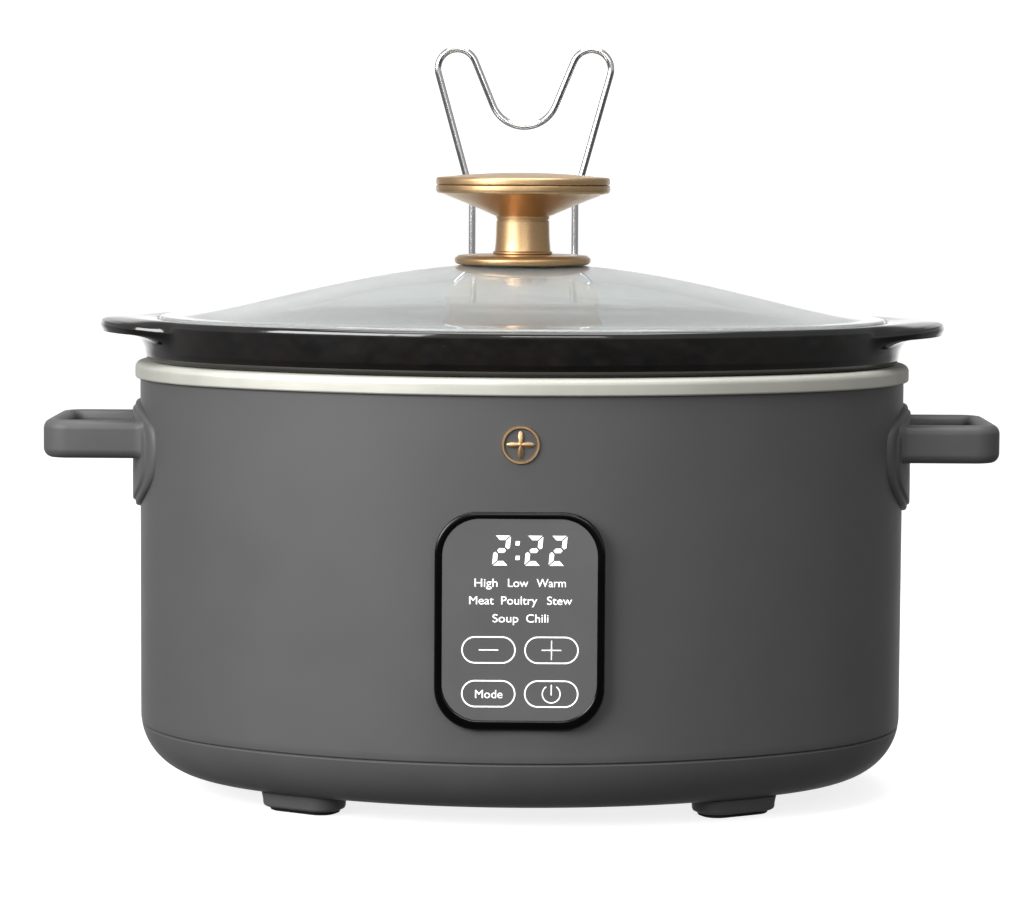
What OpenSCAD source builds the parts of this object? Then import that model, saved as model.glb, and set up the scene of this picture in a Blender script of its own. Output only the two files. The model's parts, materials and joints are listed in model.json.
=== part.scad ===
// Oval slow cooker: a glazed stoneware crock in a heated metal well, inside a painted
// steel wall on a moulded base, with a glass lid and a wire holder that parks the lid.
// Millimetres. Origin on the table at the middle of the oval; -Y is the front, +Z is up.

/* [Body] */
// Width of the outer wall, left to right
body_w = 348; // [344:1:352]
// Depth of the outer wall, front to back
body_d = 263; // [260:1:266]
// Width over both side handles
handles_w = 431; // [424:1:436]
// Height of the underside above the table
base_z = 8; // [8:0.5:9]
// Radius of the rounded lower edge
skirt_r = 27; // [26:0.5:28]

/* [Heating well] */
// Height of the top of the rim
rim_z = 195.5; // [194.5:0.5:197.5]
// How far the rim stands out past the wall
rim_over = 2.3; // [2:0.1:2.5]
// Gap from the wall's outside to the well's inside
well_in = 17; // [16.5:0.5:17.5]
// Height of the well's floor
well_floor_z = 34; // [33.5:0.5:35]

/* [Crock and lid] */
// Height of the crock's lip
lip_z = 214.9; // [214.5:0.1:215.5]
// Width over the crock's two lugs
lugs_w = 385; // [380:1:390]
// Height of the top of the glass dome
dome_z = 240.7; // [240.5:0.1:241.1]
// Radius of the lid knob
knob_r = 39.7; // [38:0.1:41]

/* [Lid holder] */
// Radius of the holder's wire
wire_r = 1.7; // [1.6:0.05:1.7]
// Distance between the holder's legs
legs_w = 50.6; // [49:0.2:52]
// Height of the holder's two upper loops
holder_z = 342.7; // [341:0.1:344]

/* [Control panel] */
// Width of the bezel
panel_w = 72.4; // [71:0.2:74]
// Height of the bezel
panel_h = 93; // [92:0.2:94]
// Height of the middle of the bezel
panel_z = 92.6; // [92:0.2:94]

/* [Hidden] */
$fn = 72;

// The oval: end arcs about (+-end_c, 0) and side arcs about (0, +-side_c). The two
// centres and the middle make a 3:4:5 triangle, whose corner angle is the wedge.
third = (body_w - body_d) / 4;
end_c = 3 * third;
side_c = 4 * third;
end_r = body_w / 2 - end_c;
side_r = end_r + 5 * third;
wedge = atan(4 / 3);
fill_y = third + 2;
front_y = -body_d / 2;

wall_t = 0.8;
wall_top = rim_z - 1.3;
skirt_z = base_z + skirt_r;
seam_z = 30.5;
seam_gap = 0.5;
well_t = 1;
floor_t = 3;
cover_in = 42;
cover_t = 1.2;
cover_top = base_z + 0.2 + cover_t;
paint = "#6a6a6a";
moulding = "#626261";
steel = "#b9b9b6";
gold = "#c79b62";
board = "#2f6b3f";

function arc(cx, cy, r, a0, a1, n = 8) =
    [for (i = [0:n]) let (a = a0 + (a1 - a0) * i / n) [cx + r * cos(a), cy + r * sin(a)]];

// A point of the oval at inset u, where t runs once round from 0 to 360.
function end_point(u, a) = [end_c + (end_r - u) * cos(a), (end_r - u) * sin(a)];
function side_point(u, a) = [(side_r - u) * cos(a), (side_r - u) * sin(a) - side_c];
function oval_quarter(u, k) = // k from 0, at the right end, to 1, at the back
    k < 0.5 ? end_point(u, 2 * k * wedge) : side_point(u, wedge + (2 * k - 1) * (90 - wedge));
function oval_point(u, t) =
    let (q = floor(t / 90), k = (t - 90 * q) / 90, f = (q % 2 == 0) ? k : 1 - k, p = oval_quarter(u, f))
    [(q == 1 || q == 2) ? -p[0] : p[0], (q >= 2) ? -p[1] : p[1]];

// Carries a 2D profile round the oval. The profile's x is the inset from the wall's
// outside and its y is the height.
module oval_sweep() {
    for (s = [-1, 1]) {
        intersection() {
            translate([s * end_c, 0, 0])
                rotate_extrude() translate([end_r, 0]) mirror([1, 0]) children();
            sector([[s * end_c, 0], [s * (end_c + 12 * third), -16 * third],
                [s * (end_c + 12 * third), 16 * third]]);
        }
        intersection() {
            translate([0, s * side_c, 0])
                rotate_extrude() translate([side_r, 0]) mirror([1, 0]) children();
            sector([[0, s * side_c], [-12 * third, s * (side_c - 16 * third)],
                [12 * third, s * (side_c - 16 * third)]]);
        }
    }
}

// A tall prism that keeps one arc's share of the oval.
module sector(corners) {
    translate([0, 0, -10]) linear_extrude(400) polygon(corners);
}

module each_corner() {
    for (x = [0, 1], y = [0, 1])
        mirror([x, 0, 0]) mirror([0, y, 0]) children();
}

// A flat oval plate or block at inset u, from z0 to z1.
module oval_block(u, z0, z1) {
    oval_sweep() translate([u, z0]) square([end_r - u, z1 - z0]);
    translate([-end_c, -fill_y, z0]) cube([2 * end_c, 2 * fill_y, z1 - z0]);
}

// The space inside the wall's outer face, cut from what sits on it: at the front (1),
// at the back (-1), or at the ends.
wall_gap = 0.05;
module side_space(way) {
    translate([0, way * side_c, 20]) cylinder(h = 180, r = side_r + wall_gap, $fn = 360);
}

module end_space() {
    translate([end_c, 0, 20]) cylinder(h = 180, r = end_r + wall_gap, $fn = 360);
}

// A rounded rectangle of w by h, standing across Y from y0 to y1 and centred at height z.
module upright_tablet(w, h, r, y0, y1, z) {
    translate([0, y1, z])
        rotate([90, 0, 0])
            linear_extrude(y1 - y0)
                union() {
                    square([w - 2 * r, h], center = true);
                    square([w, h - 2 * r], center = true);
                    for (x = [-1, 1], y = [-1, 1])
                        translate([x * (w / 2 - r), y * (h / 2 - r)]) circle(r);
                }
}

// A pan-head screw: its head stands on z = 0 and its shank goes down.
module pan_screw(shank_r, shank_l, head_r, head_h) {
    difference() {
        cylinder(h = head_h, r = head_r);
        for (a = [0, 90])
            rotate([0, 0, a])
                translate([-head_r * 0.6, -0.4, head_h - 0.8]) cube([head_r * 1.2, 0.8, 1]);
    }
    translate([0, 0, -shank_l]) cylinder(h = shank_l, r = shank_r);
}

// A round tube along a list of points, with n sides.
module tube(path, r, n = 8) {
    last = len(path) - 1;
    function unit(v) = v / norm(v);
    function way(i) = unit(path[min(i + 1, last)] - path[max(i - 1, 0)]);
    function side(w) = unit(cross(w, abs(w[2]) < 0.9 ? [0, 0, 1] : [0, 1, 0]));
    rings = [for (i = [0:last]) let (w = way(i), a = side(w), b = cross(w, a))
        for (k = [0:n - 1]) path[i] + r * (cos(360 * k / n) * a + sin(360 * k / n) * b)];
    faces = concat(
        [[for (k = [0:n - 1]) k]],
        [for (i = [0:last - 1], k = [0:n - 1]) let (j = (k + 1) % n)
            each [[i * n + k, (i + 1) * n + k, (i + 1) * n + j], [i * n + k, (i + 1) * n + j, i * n + j]]],
        [[for (k = [n - 1:-1:0]) last * n + k]]);
    polyhedron(points = rings, faces = faces, convexity = 6);
}

// A smooth line through a few points, as m short steps between each pair.
function smooth(p, m = 5) = [for (i = [0:len(p) - 2], j = [0:m - 1])
    let (t = j / m, a = p[max(i - 1, 0)], b = p[i], c = p[i + 1], d = p[min(i + 2, len(p) - 1)])
    0.5 * ((2 * b) + (c - a) * t + (2 * a - 5 * b + 4 * c - d) * t * t
        + (3 * b - a - 3 * c + d) * t * t * t), p[len(p) - 1]];

// ---- outer wall, well and base ----

window_w = 66.6;
window_h = 85.6;
window_r = 15.3;
bar_z = 161.3;
plate_z = 152.8;
grip_a = 17;
gland_z = 50;
gland_r = 6;
cord_r = 3.6;
bracket_z = 161.5;
bracket_screw_x = 12;

module outer_wall() {
    bend = asin((skirt_z - seam_z - seam_gap) / skirt_r);
    color(paint)
        difference() {
            oval_sweep()
                polygon(concat(
                    [[0, wall_top]],
                    arc(skirt_r, skirt_z, skirt_r, 180, 180 + bend, 3),
                    arc(skirt_r, skirt_z, skirt_r - wall_t, 180 + bend, 180, 3),
                    [[wall_t, wall_top]]));
            upright_tablet(window_w, window_h, window_r, front_y - 5, front_y + 12, panel_z);
            translate([0, -front_y - 5, gland_z]) rotate([-90, 0, 0]) cylinder(h = 10, r = gland_r + 0.1);
            for (x = [-1, 1])
                translate([x * bracket_screw_x, -front_y - 5, bracket_z])
                    rotate([-90, 0, 0]) cylinder(h = 10, r = 2.2);
            grip_screw_places() translate([0, 0, -6]) cylinder(h = 12, r = 2.2);
        }
}

module heating_well() {
    o = well_in - well_t;
    bend_r = 20;
    color(steel) {
        oval_sweep()
            polygon(concat(
                arc(-0.8, rim_z - 5.9, 1.5, 270, 180, 4),
                arc(0.5, rim_z - 2.8, 2.8, 180, 90, 5),
                arc(well_in - 3, rim_z - 3, 3, 90, 0, 5),
                arc(well_in + bend_r, well_floor_z + bend_r, bend_r, 180, 270),
                [[end_r, well_floor_z], [end_r, well_floor_z - well_t]],
                arc(well_in + bend_r, well_floor_z + bend_r, bend_r + well_t, 270, 180),
                arc(o - 2, rim_z - 3, 2, 0, 90, 5),
                arc(0.5, rim_z - 2.8, 1.8, 90, 180, 5),
                arc(-0.8, rim_z - 5.9, 0.5, 180, 270, 4)));
        translate([-end_c, -fill_y, well_floor_z - well_t]) cube([2 * end_c, 2 * fill_y, well_t]);
    }
}

cover_screw_a = 40;
function cover_screw() = end_point(cover_in + 4, cover_screw_a);
foot_mid_a = 31;
foot_screw_r = side_r - 36;

// The front right foot's own place on the base, out along the side arc.
module at_foot(r) {
    translate([0, side_c, 0])
        rotate([0, 0, foot_mid_a - 90])
            translate([r, 0, 0]) children();
}

module base_pan() {
    start = asin((skirt_z - seam_z) / skirt_r);
    boss = cover_screw();
    upstand_in = 3.6;
    upstand_a = acos((skirt_r - upstand_in) / (skirt_r - floor_t));
    color(moulding)
        difference() {
            union() {
                oval_sweep()
                    polygon(concat(
                        arc(skirt_r, skirt_z, skirt_r, 180 + start, 270),
                        [[cover_in, base_z], [cover_in, cover_top], [cover_in + 8, cover_top],
                            [cover_in + 8, base_z + floor_t]],
                        arc(skirt_r, skirt_z, skirt_r - floor_t, 270, 180 + upstand_a),
                        [[upstand_in, seam_z + 8.5], [1.6, seam_z + 8.5], [1.6, seam_z]]));
                each_corner()
                    translate([boss[0], boss[1], cover_top]) cylinder(h = 10, r = 4);
            }
            each_corner() {
                translate([boss[0], boss[1], 0]) cylinder(h = 17.5, r = 1.35);
                at_foot(foot_screw_r) cylinder(h = 20, r = 1.8);
            }
        }
}

module bottom_cover() {
    boss = cover_screw();
    color(steel)
        difference() {
            oval_block(cover_in + 0.3, base_z + 0.2, cover_top);
            translate([0, 0, base_z - 1]) cylinder(h = 5, r = 3.4);
            each_corner() translate([boss[0], boss[1], base_z - 1]) cylinder(h = 5, r = 1.8);
            for (x = [-1, 1], i = [0:5])
                translate([x * 80 - 16, -30 + 12 * i - 1.5, base_z - 1]) cube([32, 3, 5]);
        }
}

module foot() {
    lead = arc(skirt_r, skirt_z, skirt_r + 0.05, 270 - 13, 270, 3);
    color(moulding)
        difference() {
            translate([0, side_c, 0])
                rotate([0, 0, -90 + 24.6])
                    rotate_extrude(angle = 12.8)
                        translate([side_r, 0]) mirror([1, 0])
                            polygon(concat([[22.6, 1.8], [21.2, 3]], lead,
                                [[50, base_z - 0.05], [49.2, 1.8]]));
            at_foot(foot_screw_r) translate([0, 0, 3.2]) cylinder(h = 9, r = 1.35);
        }
}

module foot_pad() {
    color("#161616")
        translate([0, side_c, 0])
            rotate([0, 0, -90 + 25.6])
                rotate_extrude(angle = 10.8)
                    translate([side_r, 0]) mirror([1, 0])
                        polygon([[25.6, 0], [24.6, 1], [24.6, 1.8], [47.4, 1.8], [47.4, 1], [46.4, 0]]);
}

module base_screws() {
    boss = cover_screw();
    color(steel)
        each_corner() {
            translate([boss[0], boss[1], base_z + 0.2])
                mirror([0, 0, 1]) pan_screw(1.3, 8, 3.2, 1.6);
            at_foot(foot_screw_r) translate([0, 0, base_z + floor_t]) pan_screw(1.3, 7.4, 3.2, 1.8);
        }
}

// ---- side handles ----

plate_t = 3.6;
bar_h = 17;
grip_half = 39;
grip_r = 17;
gap_half = 29;
gap_end = 8.2;

// A handle's fixing screws: z is out through the wall and each stands on its inside.
module grip_screw_places() {
    for (s = [0, 180], a = [-grip_a, grip_a])
        rotate([0, 0, s])
            translate([end_c, 0, bar_z])
                rotate([0, 0, a])
                    translate([end_r - wall_t - 0.15, 0, 0]) rotate([0, 90, 0]) children();
}

module grip_outline(x0, x1, half, r) {
    union() {
        translate([x0, -half]) square([x1 - x0 - r, 2 * half]);
        translate([x0, -half + r]) square([x1 - x0, 2 * (half - r)]);
        for (s = [-1, 1]) translate([x1 - r, s * (half - r)]) circle(r);
    }
}

module handle() {
    x1 = handles_w / 2;
    inner = body_w / 2 + plate_t + 0.4;
    color(moulding)
        difference() {
            union() {
                translate([0, 0, bar_z - bar_h / 2])
                    linear_extrude(bar_h)
                        difference() {
                            grip_outline(body_w / 2 - 14, x1, grip_half, grip_r);
                            grip_outline(inner, x1 - gap_end, gap_half, 11);
                        }
                intersection() {
                    translate([end_c, 0, 0])
                        rotate([0, 0, -30])
                            rotate_extrude(angle = 60)
                                translate([end_r - 2, plate_z - 26]) square([plate_t + 2, 52]);
                    translate([100, 0, plate_z])
                        rotate([0, -90, 0]) mirror([0, 0, 1]) linear_extrude(100) plate_outline();
                }
            }
            end_space();
            grip_screw_places() cylinder(h = 12, r = 1.6);
        }
}

// The plate's outline: its x is up. Wide at the bar and drawn in above and below.
module plate_outline() {
    intersection() {
        translate([4, 0]) circle(49);
        translate([24.7 - 130, 0]) circle(130);
        translate([80 - 24.3, 0]) circle(80);
    }
}

module handle_screws() {
    color(steel)
        grip_screw_places()
            translate([0, 0, -0.8]) mirror([0, 0, 1]) pan_screw(1.55, 11.2, 3.6, 2.4);
}

module handle_washers() {
    color(steel)
        grip_screw_places()
            translate([0, 0, -0.8])
                difference() {
                    cylinder(h = 0.75, r = 4.5);
                    translate([0, 0, -1]) cylinder(h = 3, r = 2);
                }
}

// ---- lid holder ----

leg_x = legs_w / 2;
wire_y = 136;
socket_r = wire_r + 0.1;
socket_z = 148.5;
bracket_foot = 144.5;
bracket_top = 174.5;
loop_r = 9.5;
loop_x = 33;
loop_z = holder_z - wire_r - loop_r;
dip_r = 16.6;
dip_z = 319.9;
splay_z = 268.1;
elbow_r = 14;

module holder_bracket() {
    color(moulding)
        difference() {
            union() {
                translate([-33, 125, bracket_foot]) cube([66, 11.5, bracket_top - bracket_foot]);
                for (x = [-1, 1])
                    translate([x * leg_x, wire_y, bracket_foot])
                        cylinder(h = bracket_top - bracket_foot, r = 3.5);
            }
            side_space(-1);
            for (x = [-1, 1]) {
                translate([x * leg_x, wire_y, socket_z]) cylinder(h = 40, r = socket_r);
                translate([x * bracket_screw_x, 120, bracket_z])
                    rotate([-90, 0, 0]) cylinder(h = 15.2, r = 1.6);
            }
        }
}

module bracket_screws() {
    color(steel)
        for (x = [-1, 1])
            translate([x * bracket_screw_x, -front_y - wall_t - 0.6, bracket_z])
                rotate([90, 0, 0]) pan_screw(1.55, 4.9, 3.6, 2.2);
}

// A straight stretch of wire from a to b, both [x, z], run a little into each bend.
run_in = 0.5;
module wire_line(a, b) {
    d = b - a;
    translate([a[0], wire_y, a[1]])
        rotate([0, atan2(d[0], d[1]), 0])
            translate([0, 0, -run_in]) cylinder(h = norm(d) + 2 * run_in, r = wire_r);
}

// Drawn through the bends, the wire swells by this much.
bend_over = 0.04;

// A bend of the wire about c, from angle a0 to a1 measured from +X towards +Z.
module wire_bend(c, r, a0, a1) {
    translate([c[0], wire_y, c[1]])
        rotate([90, 0, 0])
            rotate([0, 0, a0])
                rotate_extrude(angle = a1 - a0) translate([r, 0]) circle(wire_r + bend_over);
}

module lid_holder_wire() {
    dip = [0, dip_z];
    loop = [loop_x, loop_z];
    // The inner slope crosses between the dip's circle and the loop's.
    apart = norm(loop - dip);
    cross_a = atan2(loop_z - dip_z, loop_x) + asin((dip_r + loop_r) / apart) - 90;
    n_in = [cos(cross_a), sin(cross_a)];
    // The outer slope leaves the loop and meets the upright leg at splay_z.
    foot_pt = [leg_x, splay_z];
    reach = loop - foot_pt;
    lean = atan2(reach[0], reach[1]) + asin(loop_r / norm(reach));
    n_out = [cos(-lean), sin(-lean)];
    run = elbow_r * tan(lean / 2);
    color("#d8d8da") {
        wire_bend(dip, dip_r, -180 - cross_a, cross_a);
        for (s = [0, 1])
            mirror([s, 0, 0]) {
                wire_line(dip + dip_r * n_in, loop - loop_r * n_in);
                wire_bend(loop, loop_r, -lean, 180 + cross_a);
                wire_line(foot_pt + run * [sin(lean), cos(lean)], loop + loop_r * n_out);
                wire_bend([leg_x + elbow_r, splay_z - run], elbow_r, 180 - lean, 180);
                wire_line([leg_x, socket_z + 0.3 + run_in], [leg_x, splay_z - run]);
            }
    }
}

// ---- cord entry and badge ----

gland_out = 3;
module cord_gland() {
    color("#202020")
        difference() {
            union() {
                difference() {
                    translate([0, -front_y - 1, gland_z])
                        rotate([-90, 0, 0]) cylinder(h = 1 + gland_out, r = 9);
                    side_space(-1);
                }
                translate([0, 122, gland_z]) rotate([-90, 0, 0]) cylinder(h = 11, r = gland_r - 0.05);
                translate([0, 127, gland_z]) rotate([-90, 0, 0]) cylinder(h = 3.4, r = 8);
            }
            translate([0, 118, gland_z]) rotate([-90, 0, 0]) cylinder(h = 20, r = cord_r);
        }
}

module badge() {
    color(gold)
        difference() {
            translate([0, front_y + 1, 167.5])
                rotate([90, 0, 0])
                    linear_extrude(2.4)
                        union() {
                            difference() {
                                circle(8.2);
                                circle(6.8);
                            }
                            rotate(45) square(6, center = true);
                            square([14.4, 0.9], center = true);
                            square([0.9, 14.4], center = true);
                        }
            side_space(1);
        }
}

// ---- control panel ----

bezel_out = 3;
lens_w = 65.8;
lens_h = 85.9;
lens_z = panel_z + 0.7;
lens_y = front_y - bezel_out + 0.3;
lens_t = 1.8;
guide_y = lens_y + lens_t + 0.1;
guide_t = 4;
board_y = guide_y + guide_t + 1.6;
board_t = 1.6;
cover_y = board_y + board_t + 0.1;
cover_back = cover_y + 5.2;
key_x = [-13.4, 13.3];
key_z = [-12.6, -30.8];
digits_z = 29.6;

module bezel() {
    color("#0d0d0d")
        difference() {
            union() {
                difference() {
                    upright_tablet(panel_w, panel_h, 18, front_y - bezel_out, front_y + 6, panel_z);
                    side_space(1);
                }
                upright_tablet(window_w - 0.6, window_h - 0.6, window_r - 0.3,
                    front_y - bezel_out + 1, cover_y - 0.1, panel_z);
            }
            upright_tablet(lens_w + 0.2, lens_h + 0.2, 16, front_y - 10, lens_y + lens_t, lens_z);
            upright_tablet(61, 80, 12, front_y - 10, front_y + 20, panel_z);
        }
}

module touch_lens() {
    color("#5b5b5b") upright_tablet(lens_w, lens_h, 15.9, lens_y, lens_y + lens_t, lens_z);
}

module light_guide() {
    color("#e9e9e4")
        difference() {
            upright_tablet(60.4, 79.4, 11.7, guide_y, guide_y + guide_t, panel_z);
            translate([-21, guide_y - 1, panel_z + digits_z - 8.4]) cube([42, guide_t + 2, 16.8]);
            for (x = key_x, z = key_z)
                translate([x, guide_y + guide_t + 1, panel_z + z]) rotate([90, 0, 0])
                    cylinder(h = 8, r = 4.6);
            translate([-22, guide_y + 1, panel_z - 4.5]) cube([44, guide_t, 22]);
            panel_screw_places() translate([0, 0, -20]) cylinder(h = 40, r = 1.3);
        }
}

module display_module() {
    color("#1a1a1a")
        translate([-20.5, guide_y + 0.05, panel_z + digits_z - 8]) cube([41, board_y - guide_y - 0.1, 16]);
}

module key_sensors() {
    color(steel)
        for (x = key_x, z = key_z)
            translate([x, board_y - 0.05, panel_z + z])
                rotate([90, 0, 0])
                    difference() {
                        cylinder(h = board_y - guide_y - 0.1, r = 4);
                        translate([0, 0, -1]) cylinder(h = 10, r = 3.2);
                    }
}

module control_board() {
    color(board)
        difference() {
            union() {
                upright_tablet(60, 78, 11.5, board_y, board_y + board_t, panel_z);
                translate([-7, board_y, panel_z + 6]) cube([14, board_t + 1.4, 14]);
                translate([-9, board_y, panel_z - 33]) cube([18, board_t + 3.6, 6]);
            }
            panel_screw_places() translate([0, 0, -20]) cylinder(h = 40, r = 1.6);
        }
}

module panel_screw_places() {
    for (x = [-24, 24], z = [-31, 31])
        translate([x, cover_back, panel_z + z]) rotate([-90, 0, 0]) children();
}

module control_cover() {
    color("#3a3a3a")
        difference() {
            upright_tablet(65, 84, 14, cover_y, cover_back, panel_z);
            upright_tablet(48, 81, 8, cover_y - 1, cover_back - 1.4, panel_z);
            panel_screw_places() translate([0, 0, -20]) cylinder(h = 40, r = 1.6);
            translate([-8, cover_y - 1, panel_z - 60]) cube([16, 4.4, 22]);
        }
}

module panel_screws() {
    color(steel) panel_screw_places() pan_screw(1.25, cover_back - guide_y - 1, 2.6, 1.4);
}

// ---- heater, sensor and fuse ----

band_out = well_in - well_t;
band_t = 1.8;
band_z0 = 60;
band_h = 52;

module heater_band() {
    color("#c9a86a")
        difference() {
            oval_sweep() translate([band_out - band_t, band_z0]) square([band_t - 0.05, band_h]);
            translate([-6, 100, band_z0 - 1]) cube([12, 40, band_h + 2]);
        }
}

strap_out = band_out - band_t - 0.05;
module band_strap(z) {
    color(steel) {
        difference() {
            oval_sweep() translate([strap_out - 0.6, z]) square([0.6, 6]);
            translate([-9, 100, z - 1]) cube([18, 40, 8]);
        }
        for (x = [-10.4, 9])
            translate([x, -front_y - strap_out + 0.1, z]) cube([1.4, 4.1, 6]);
    }
}

module band_springs() {
    turns = 7;
    spring_y = -front_y - strap_out + 2.4;
    for (z = [band_z0 + 11, band_z0 + 41])
        color(steel)
            tube([for (i = [0:turns * 10])
                [-8.4 + 16.8 * i / (turns * 10), spring_y + 1.5 * cos(36 * i), z + 1.5 * sin(36 * i)]],
                0.35, 6);
}

sensor_y = -45;

module temperature_sensor() {
    color("#cfcfcf")
        translate([0, sensor_y, 0]) {
            translate([0, 0, 27.5]) cylinder(h = 5.4, r = 6);
            translate([0, 0, 25.5]) cylinder(h = 2, r = 3);
        }
}

module sensor_bracket() {
    color(steel)
        difference() {
            union() {
                translate([-14.5, sensor_y - 6, 26.4]) cube([29, 12, 1]);
                for (x = [-15.5, 14.5]) translate([x, sensor_y - 6, 26.4]) cube([1, 12, 6.5]);
                for (x = [-21, 15]) translate([x, sensor_y - 6, 31.9]) cube([6, 12, 1]);
            }
            translate([0, sensor_y, 20]) cylinder(h = 10, r = 3.1);
        }
}

module thermal_fuse() {
    color("#e8e2d4")
        translate([-75, 0, 30.1])
            rotate([0, 90, 0]) cylinder(h = 36, r = 2.7);
}

module fuse_clip() {
    color(steel)
        translate([-64, 0, 30.1])
            rotate([0, 90, 0])
                difference() {
                    union() {
                        cylinder(h = 14, r = 3.3);
                        translate([-2.8, -10, 0]) cube([0.8, 20, 14]);
                    }
                    translate([0, 0, -1]) cylinder(h = 16, r = 2.75);
                    translate([-8, -12, -1]) cube([5.2, 24, 16]);
                }
}

// ---- centre fixing ----

module centre_stud() {
    color(steel) {
        translate([0, 0, 2.6]) cylinder(h = 29, r = 3);
        translate([0, 0, 31.4]) cylinder(h = 1.55, r = 9);
    }
}

module centre_spacer() {
    color(steel)
        difference() {
            translate([0, 0, cover_top + 0.02]) cylinder(h = 31.35 - cover_top, r = 8);
            cylinder(h = 40, r = 3.3);
        }
}

module centre_nut() {
    color(steel)
        difference() {
            union() {
                translate([0, 0, 3.4]) cylinder(h = 3.8, r = 5.8, $fn = 6);
                translate([0, 0, 7.2]) cylinder(h = 0.95, r = 7.5);
            }
            cylinder(h = 20, r = 3.05);
        }
}

// ---- power board in the base ----

pcb_x = 30;
pcb_y = -22;
pcb_w = 66;
pcb_d = 44;
pcb_z = 14;
pcb_top = pcb_z + 1.6;

module pcb_corners() {
    for (x = [4, pcb_w - 4], y = [4, pcb_d - 4])
        translate([pcb_x + x, pcb_y + y, 0]) children();
}

module power_board() {
    color(board)
        difference() {
            translate([pcb_x, pcb_y, pcb_z]) cube([pcb_w, pcb_d, 1.6]);
            pcb_corners() cylinder(h = 30, r = 1.6);
        }
}

module board_standoffs() {
    color("#e6e6e0")
        pcb_corners() {
            translate([0, 0, cover_top + 0.02]) cylinder(h = pcb_z - cover_top - 0.04, r = 3);
            translate([0, 0, pcb_z - 0.1]) cylinder(h = 1.8, r = 1.5);
            translate([0, 0, pcb_top + 0.02]) cylinder(h = 1.4, r = 2.5);
        }
}

module relay() {
    color("#1d3f8a") translate([pcb_x + 9, pcb_y + 10, pcb_top + 0.02]) cube([19, 15, 12.4]);
}

module transformer() {
    color("#d9a520")
        translate([pcb_x + 33, pcb_y + 9, pcb_top + 0.02]) {
            cube([24, 18, 10]);
            translate([3, 2, 10]) cube([18, 14, 2.6]);
        }
}

module filter_capacitor() {
    color("#c9b400") translate([pcb_x + 12, pcb_y + 29, pcb_top + 0.02]) cube([18, 8, 12]);
}

module mains_terminal() {
    color("#2b2b2b")
        difference() {
            translate([pcb_x + 36, pcb_y + 30, pcb_top + 0.02]) cube([18, 9, 10]);
            for (i = [0:2])
                translate([pcb_x + 39 + 6 * i, pcb_y + 34.5, pcb_top + 4]) cylinder(h = 8, r = 1.9);
        }
}

module heat_shield() {
    top = 31;
    x0 = pcb_x - 3;
    x1 = pcb_x + pcb_w + 3;
    color(steel)
        difference() {
            union() {
                translate([x0, pcb_y, top - 0.6]) cube([x1 - x0, pcb_d, 0.6]);
                for (x = [x0, x1 - 0.6])
                    translate([x, pcb_y, cover_top + 0.02]) cube([0.6, pcb_d, top - cover_top - 0.02]);
            }
            for (i = [0:5])
                translate([x0 + 8 + 10 * i, pcb_y + 8, top - 1]) cube([4, pcb_d - 16, 2]);
        }
}

module control_cable() {
    color("#d8d8d8")
        tube(smooth([[0, board_y + 3.6, panel_z - 33.2], [0, board_y + 3.6, 53], [0, board_y + 3.6, 45],
            [3, -116, 32], [8, -98, 19], [15, -62, 17], [17, -30, 18],
            [21, -16, 18.5], [26.8, -14, 18.5]], 4), 1.3);
}

module heater_leads() {
    color("#e8e0d0")
        for (s = [-1, 1])
            tube(smooth([[s * 9.8, 119.6, 84], [s * 12, 121.6, 74], [s * 13, 121.4, 60],
                [s * 13 + 4, 112, 36], [s * 9 + 20, 92, 22], [s * 5 + 52, 68, 20], [s * 3 + 70, 40, 20],
                [s * 3 + 75, 26, 20], [s * 3 + 75, 17.3, 20]], 4), 1.1);
}

// ---- crock ----

seat_gap = 0.3;
crock_seat = rim_z + seat_gap;
ledge_z = lip_z - 3.4;

module stoneware_crock() {
    lug_r = 65;
    lug_x = lugs_w / 2 - lug_r;
    color("#121214")
        difference() {
            union() {
                oval_sweep()
                    polygon(concat(
                        arc(6, crock_seat + 4, 4, 270, 180, 4),
                        arc(3.8, lip_z - 1.8, 1.8, 180, 90, 4),
                        arc(6.6, lip_z - 0.8, 0.8, 90, 0, 2),
                        [[7.8, ledge_z], [18, ledge_z]],
                        arc(18, ledge_z - 9, 9, 90, 20, 4),
                        arc(56, 70, 24, 192, 270),
                        [[end_r, 46], [end_r, 38]],
                        arc(50, 60, 22, 270, 186),
                        [[20.5, crock_seat - 8], [20.5, crock_seat]]));
                translate([-end_c, -fill_y, 38]) cube([2 * end_c, 2 * fill_y, 8]);
                for (s = [0, 1])
                    mirror([s, 0, 0])
                        difference() {
                            union() {
                                translate([lug_x, 0, lip_z - 5]) cylinder(h = 6.6, r = lug_r);
                                translate([lug_x + 1, 0, lip_z - 13.4]) cylinder(h = 8.5, r = lug_r - 12);
                            }
                            oval_block(6, 190, 220);
                        }
            }
        }
}

// ---- lid ----

flange_in = 8.3;
flange_w = 8.7;
flange_z = ledge_z + 0.3;
flange_t = 4.2;
glass_t = 4;
steps = 56;

// Height of the dome's top face at a share s of the way out to the flange.
function dome_top(s) = flange_z + flange_t + (dome_z - flange_z - flange_t) * pow(1 - s * s, 1.5);

function glass_ring(u, share, z) =
    [for (i = [0:steps - 1]) let (p = oval_point(u, 360 * i / steps)) [share * p[0], share * p[1], z]];

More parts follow.
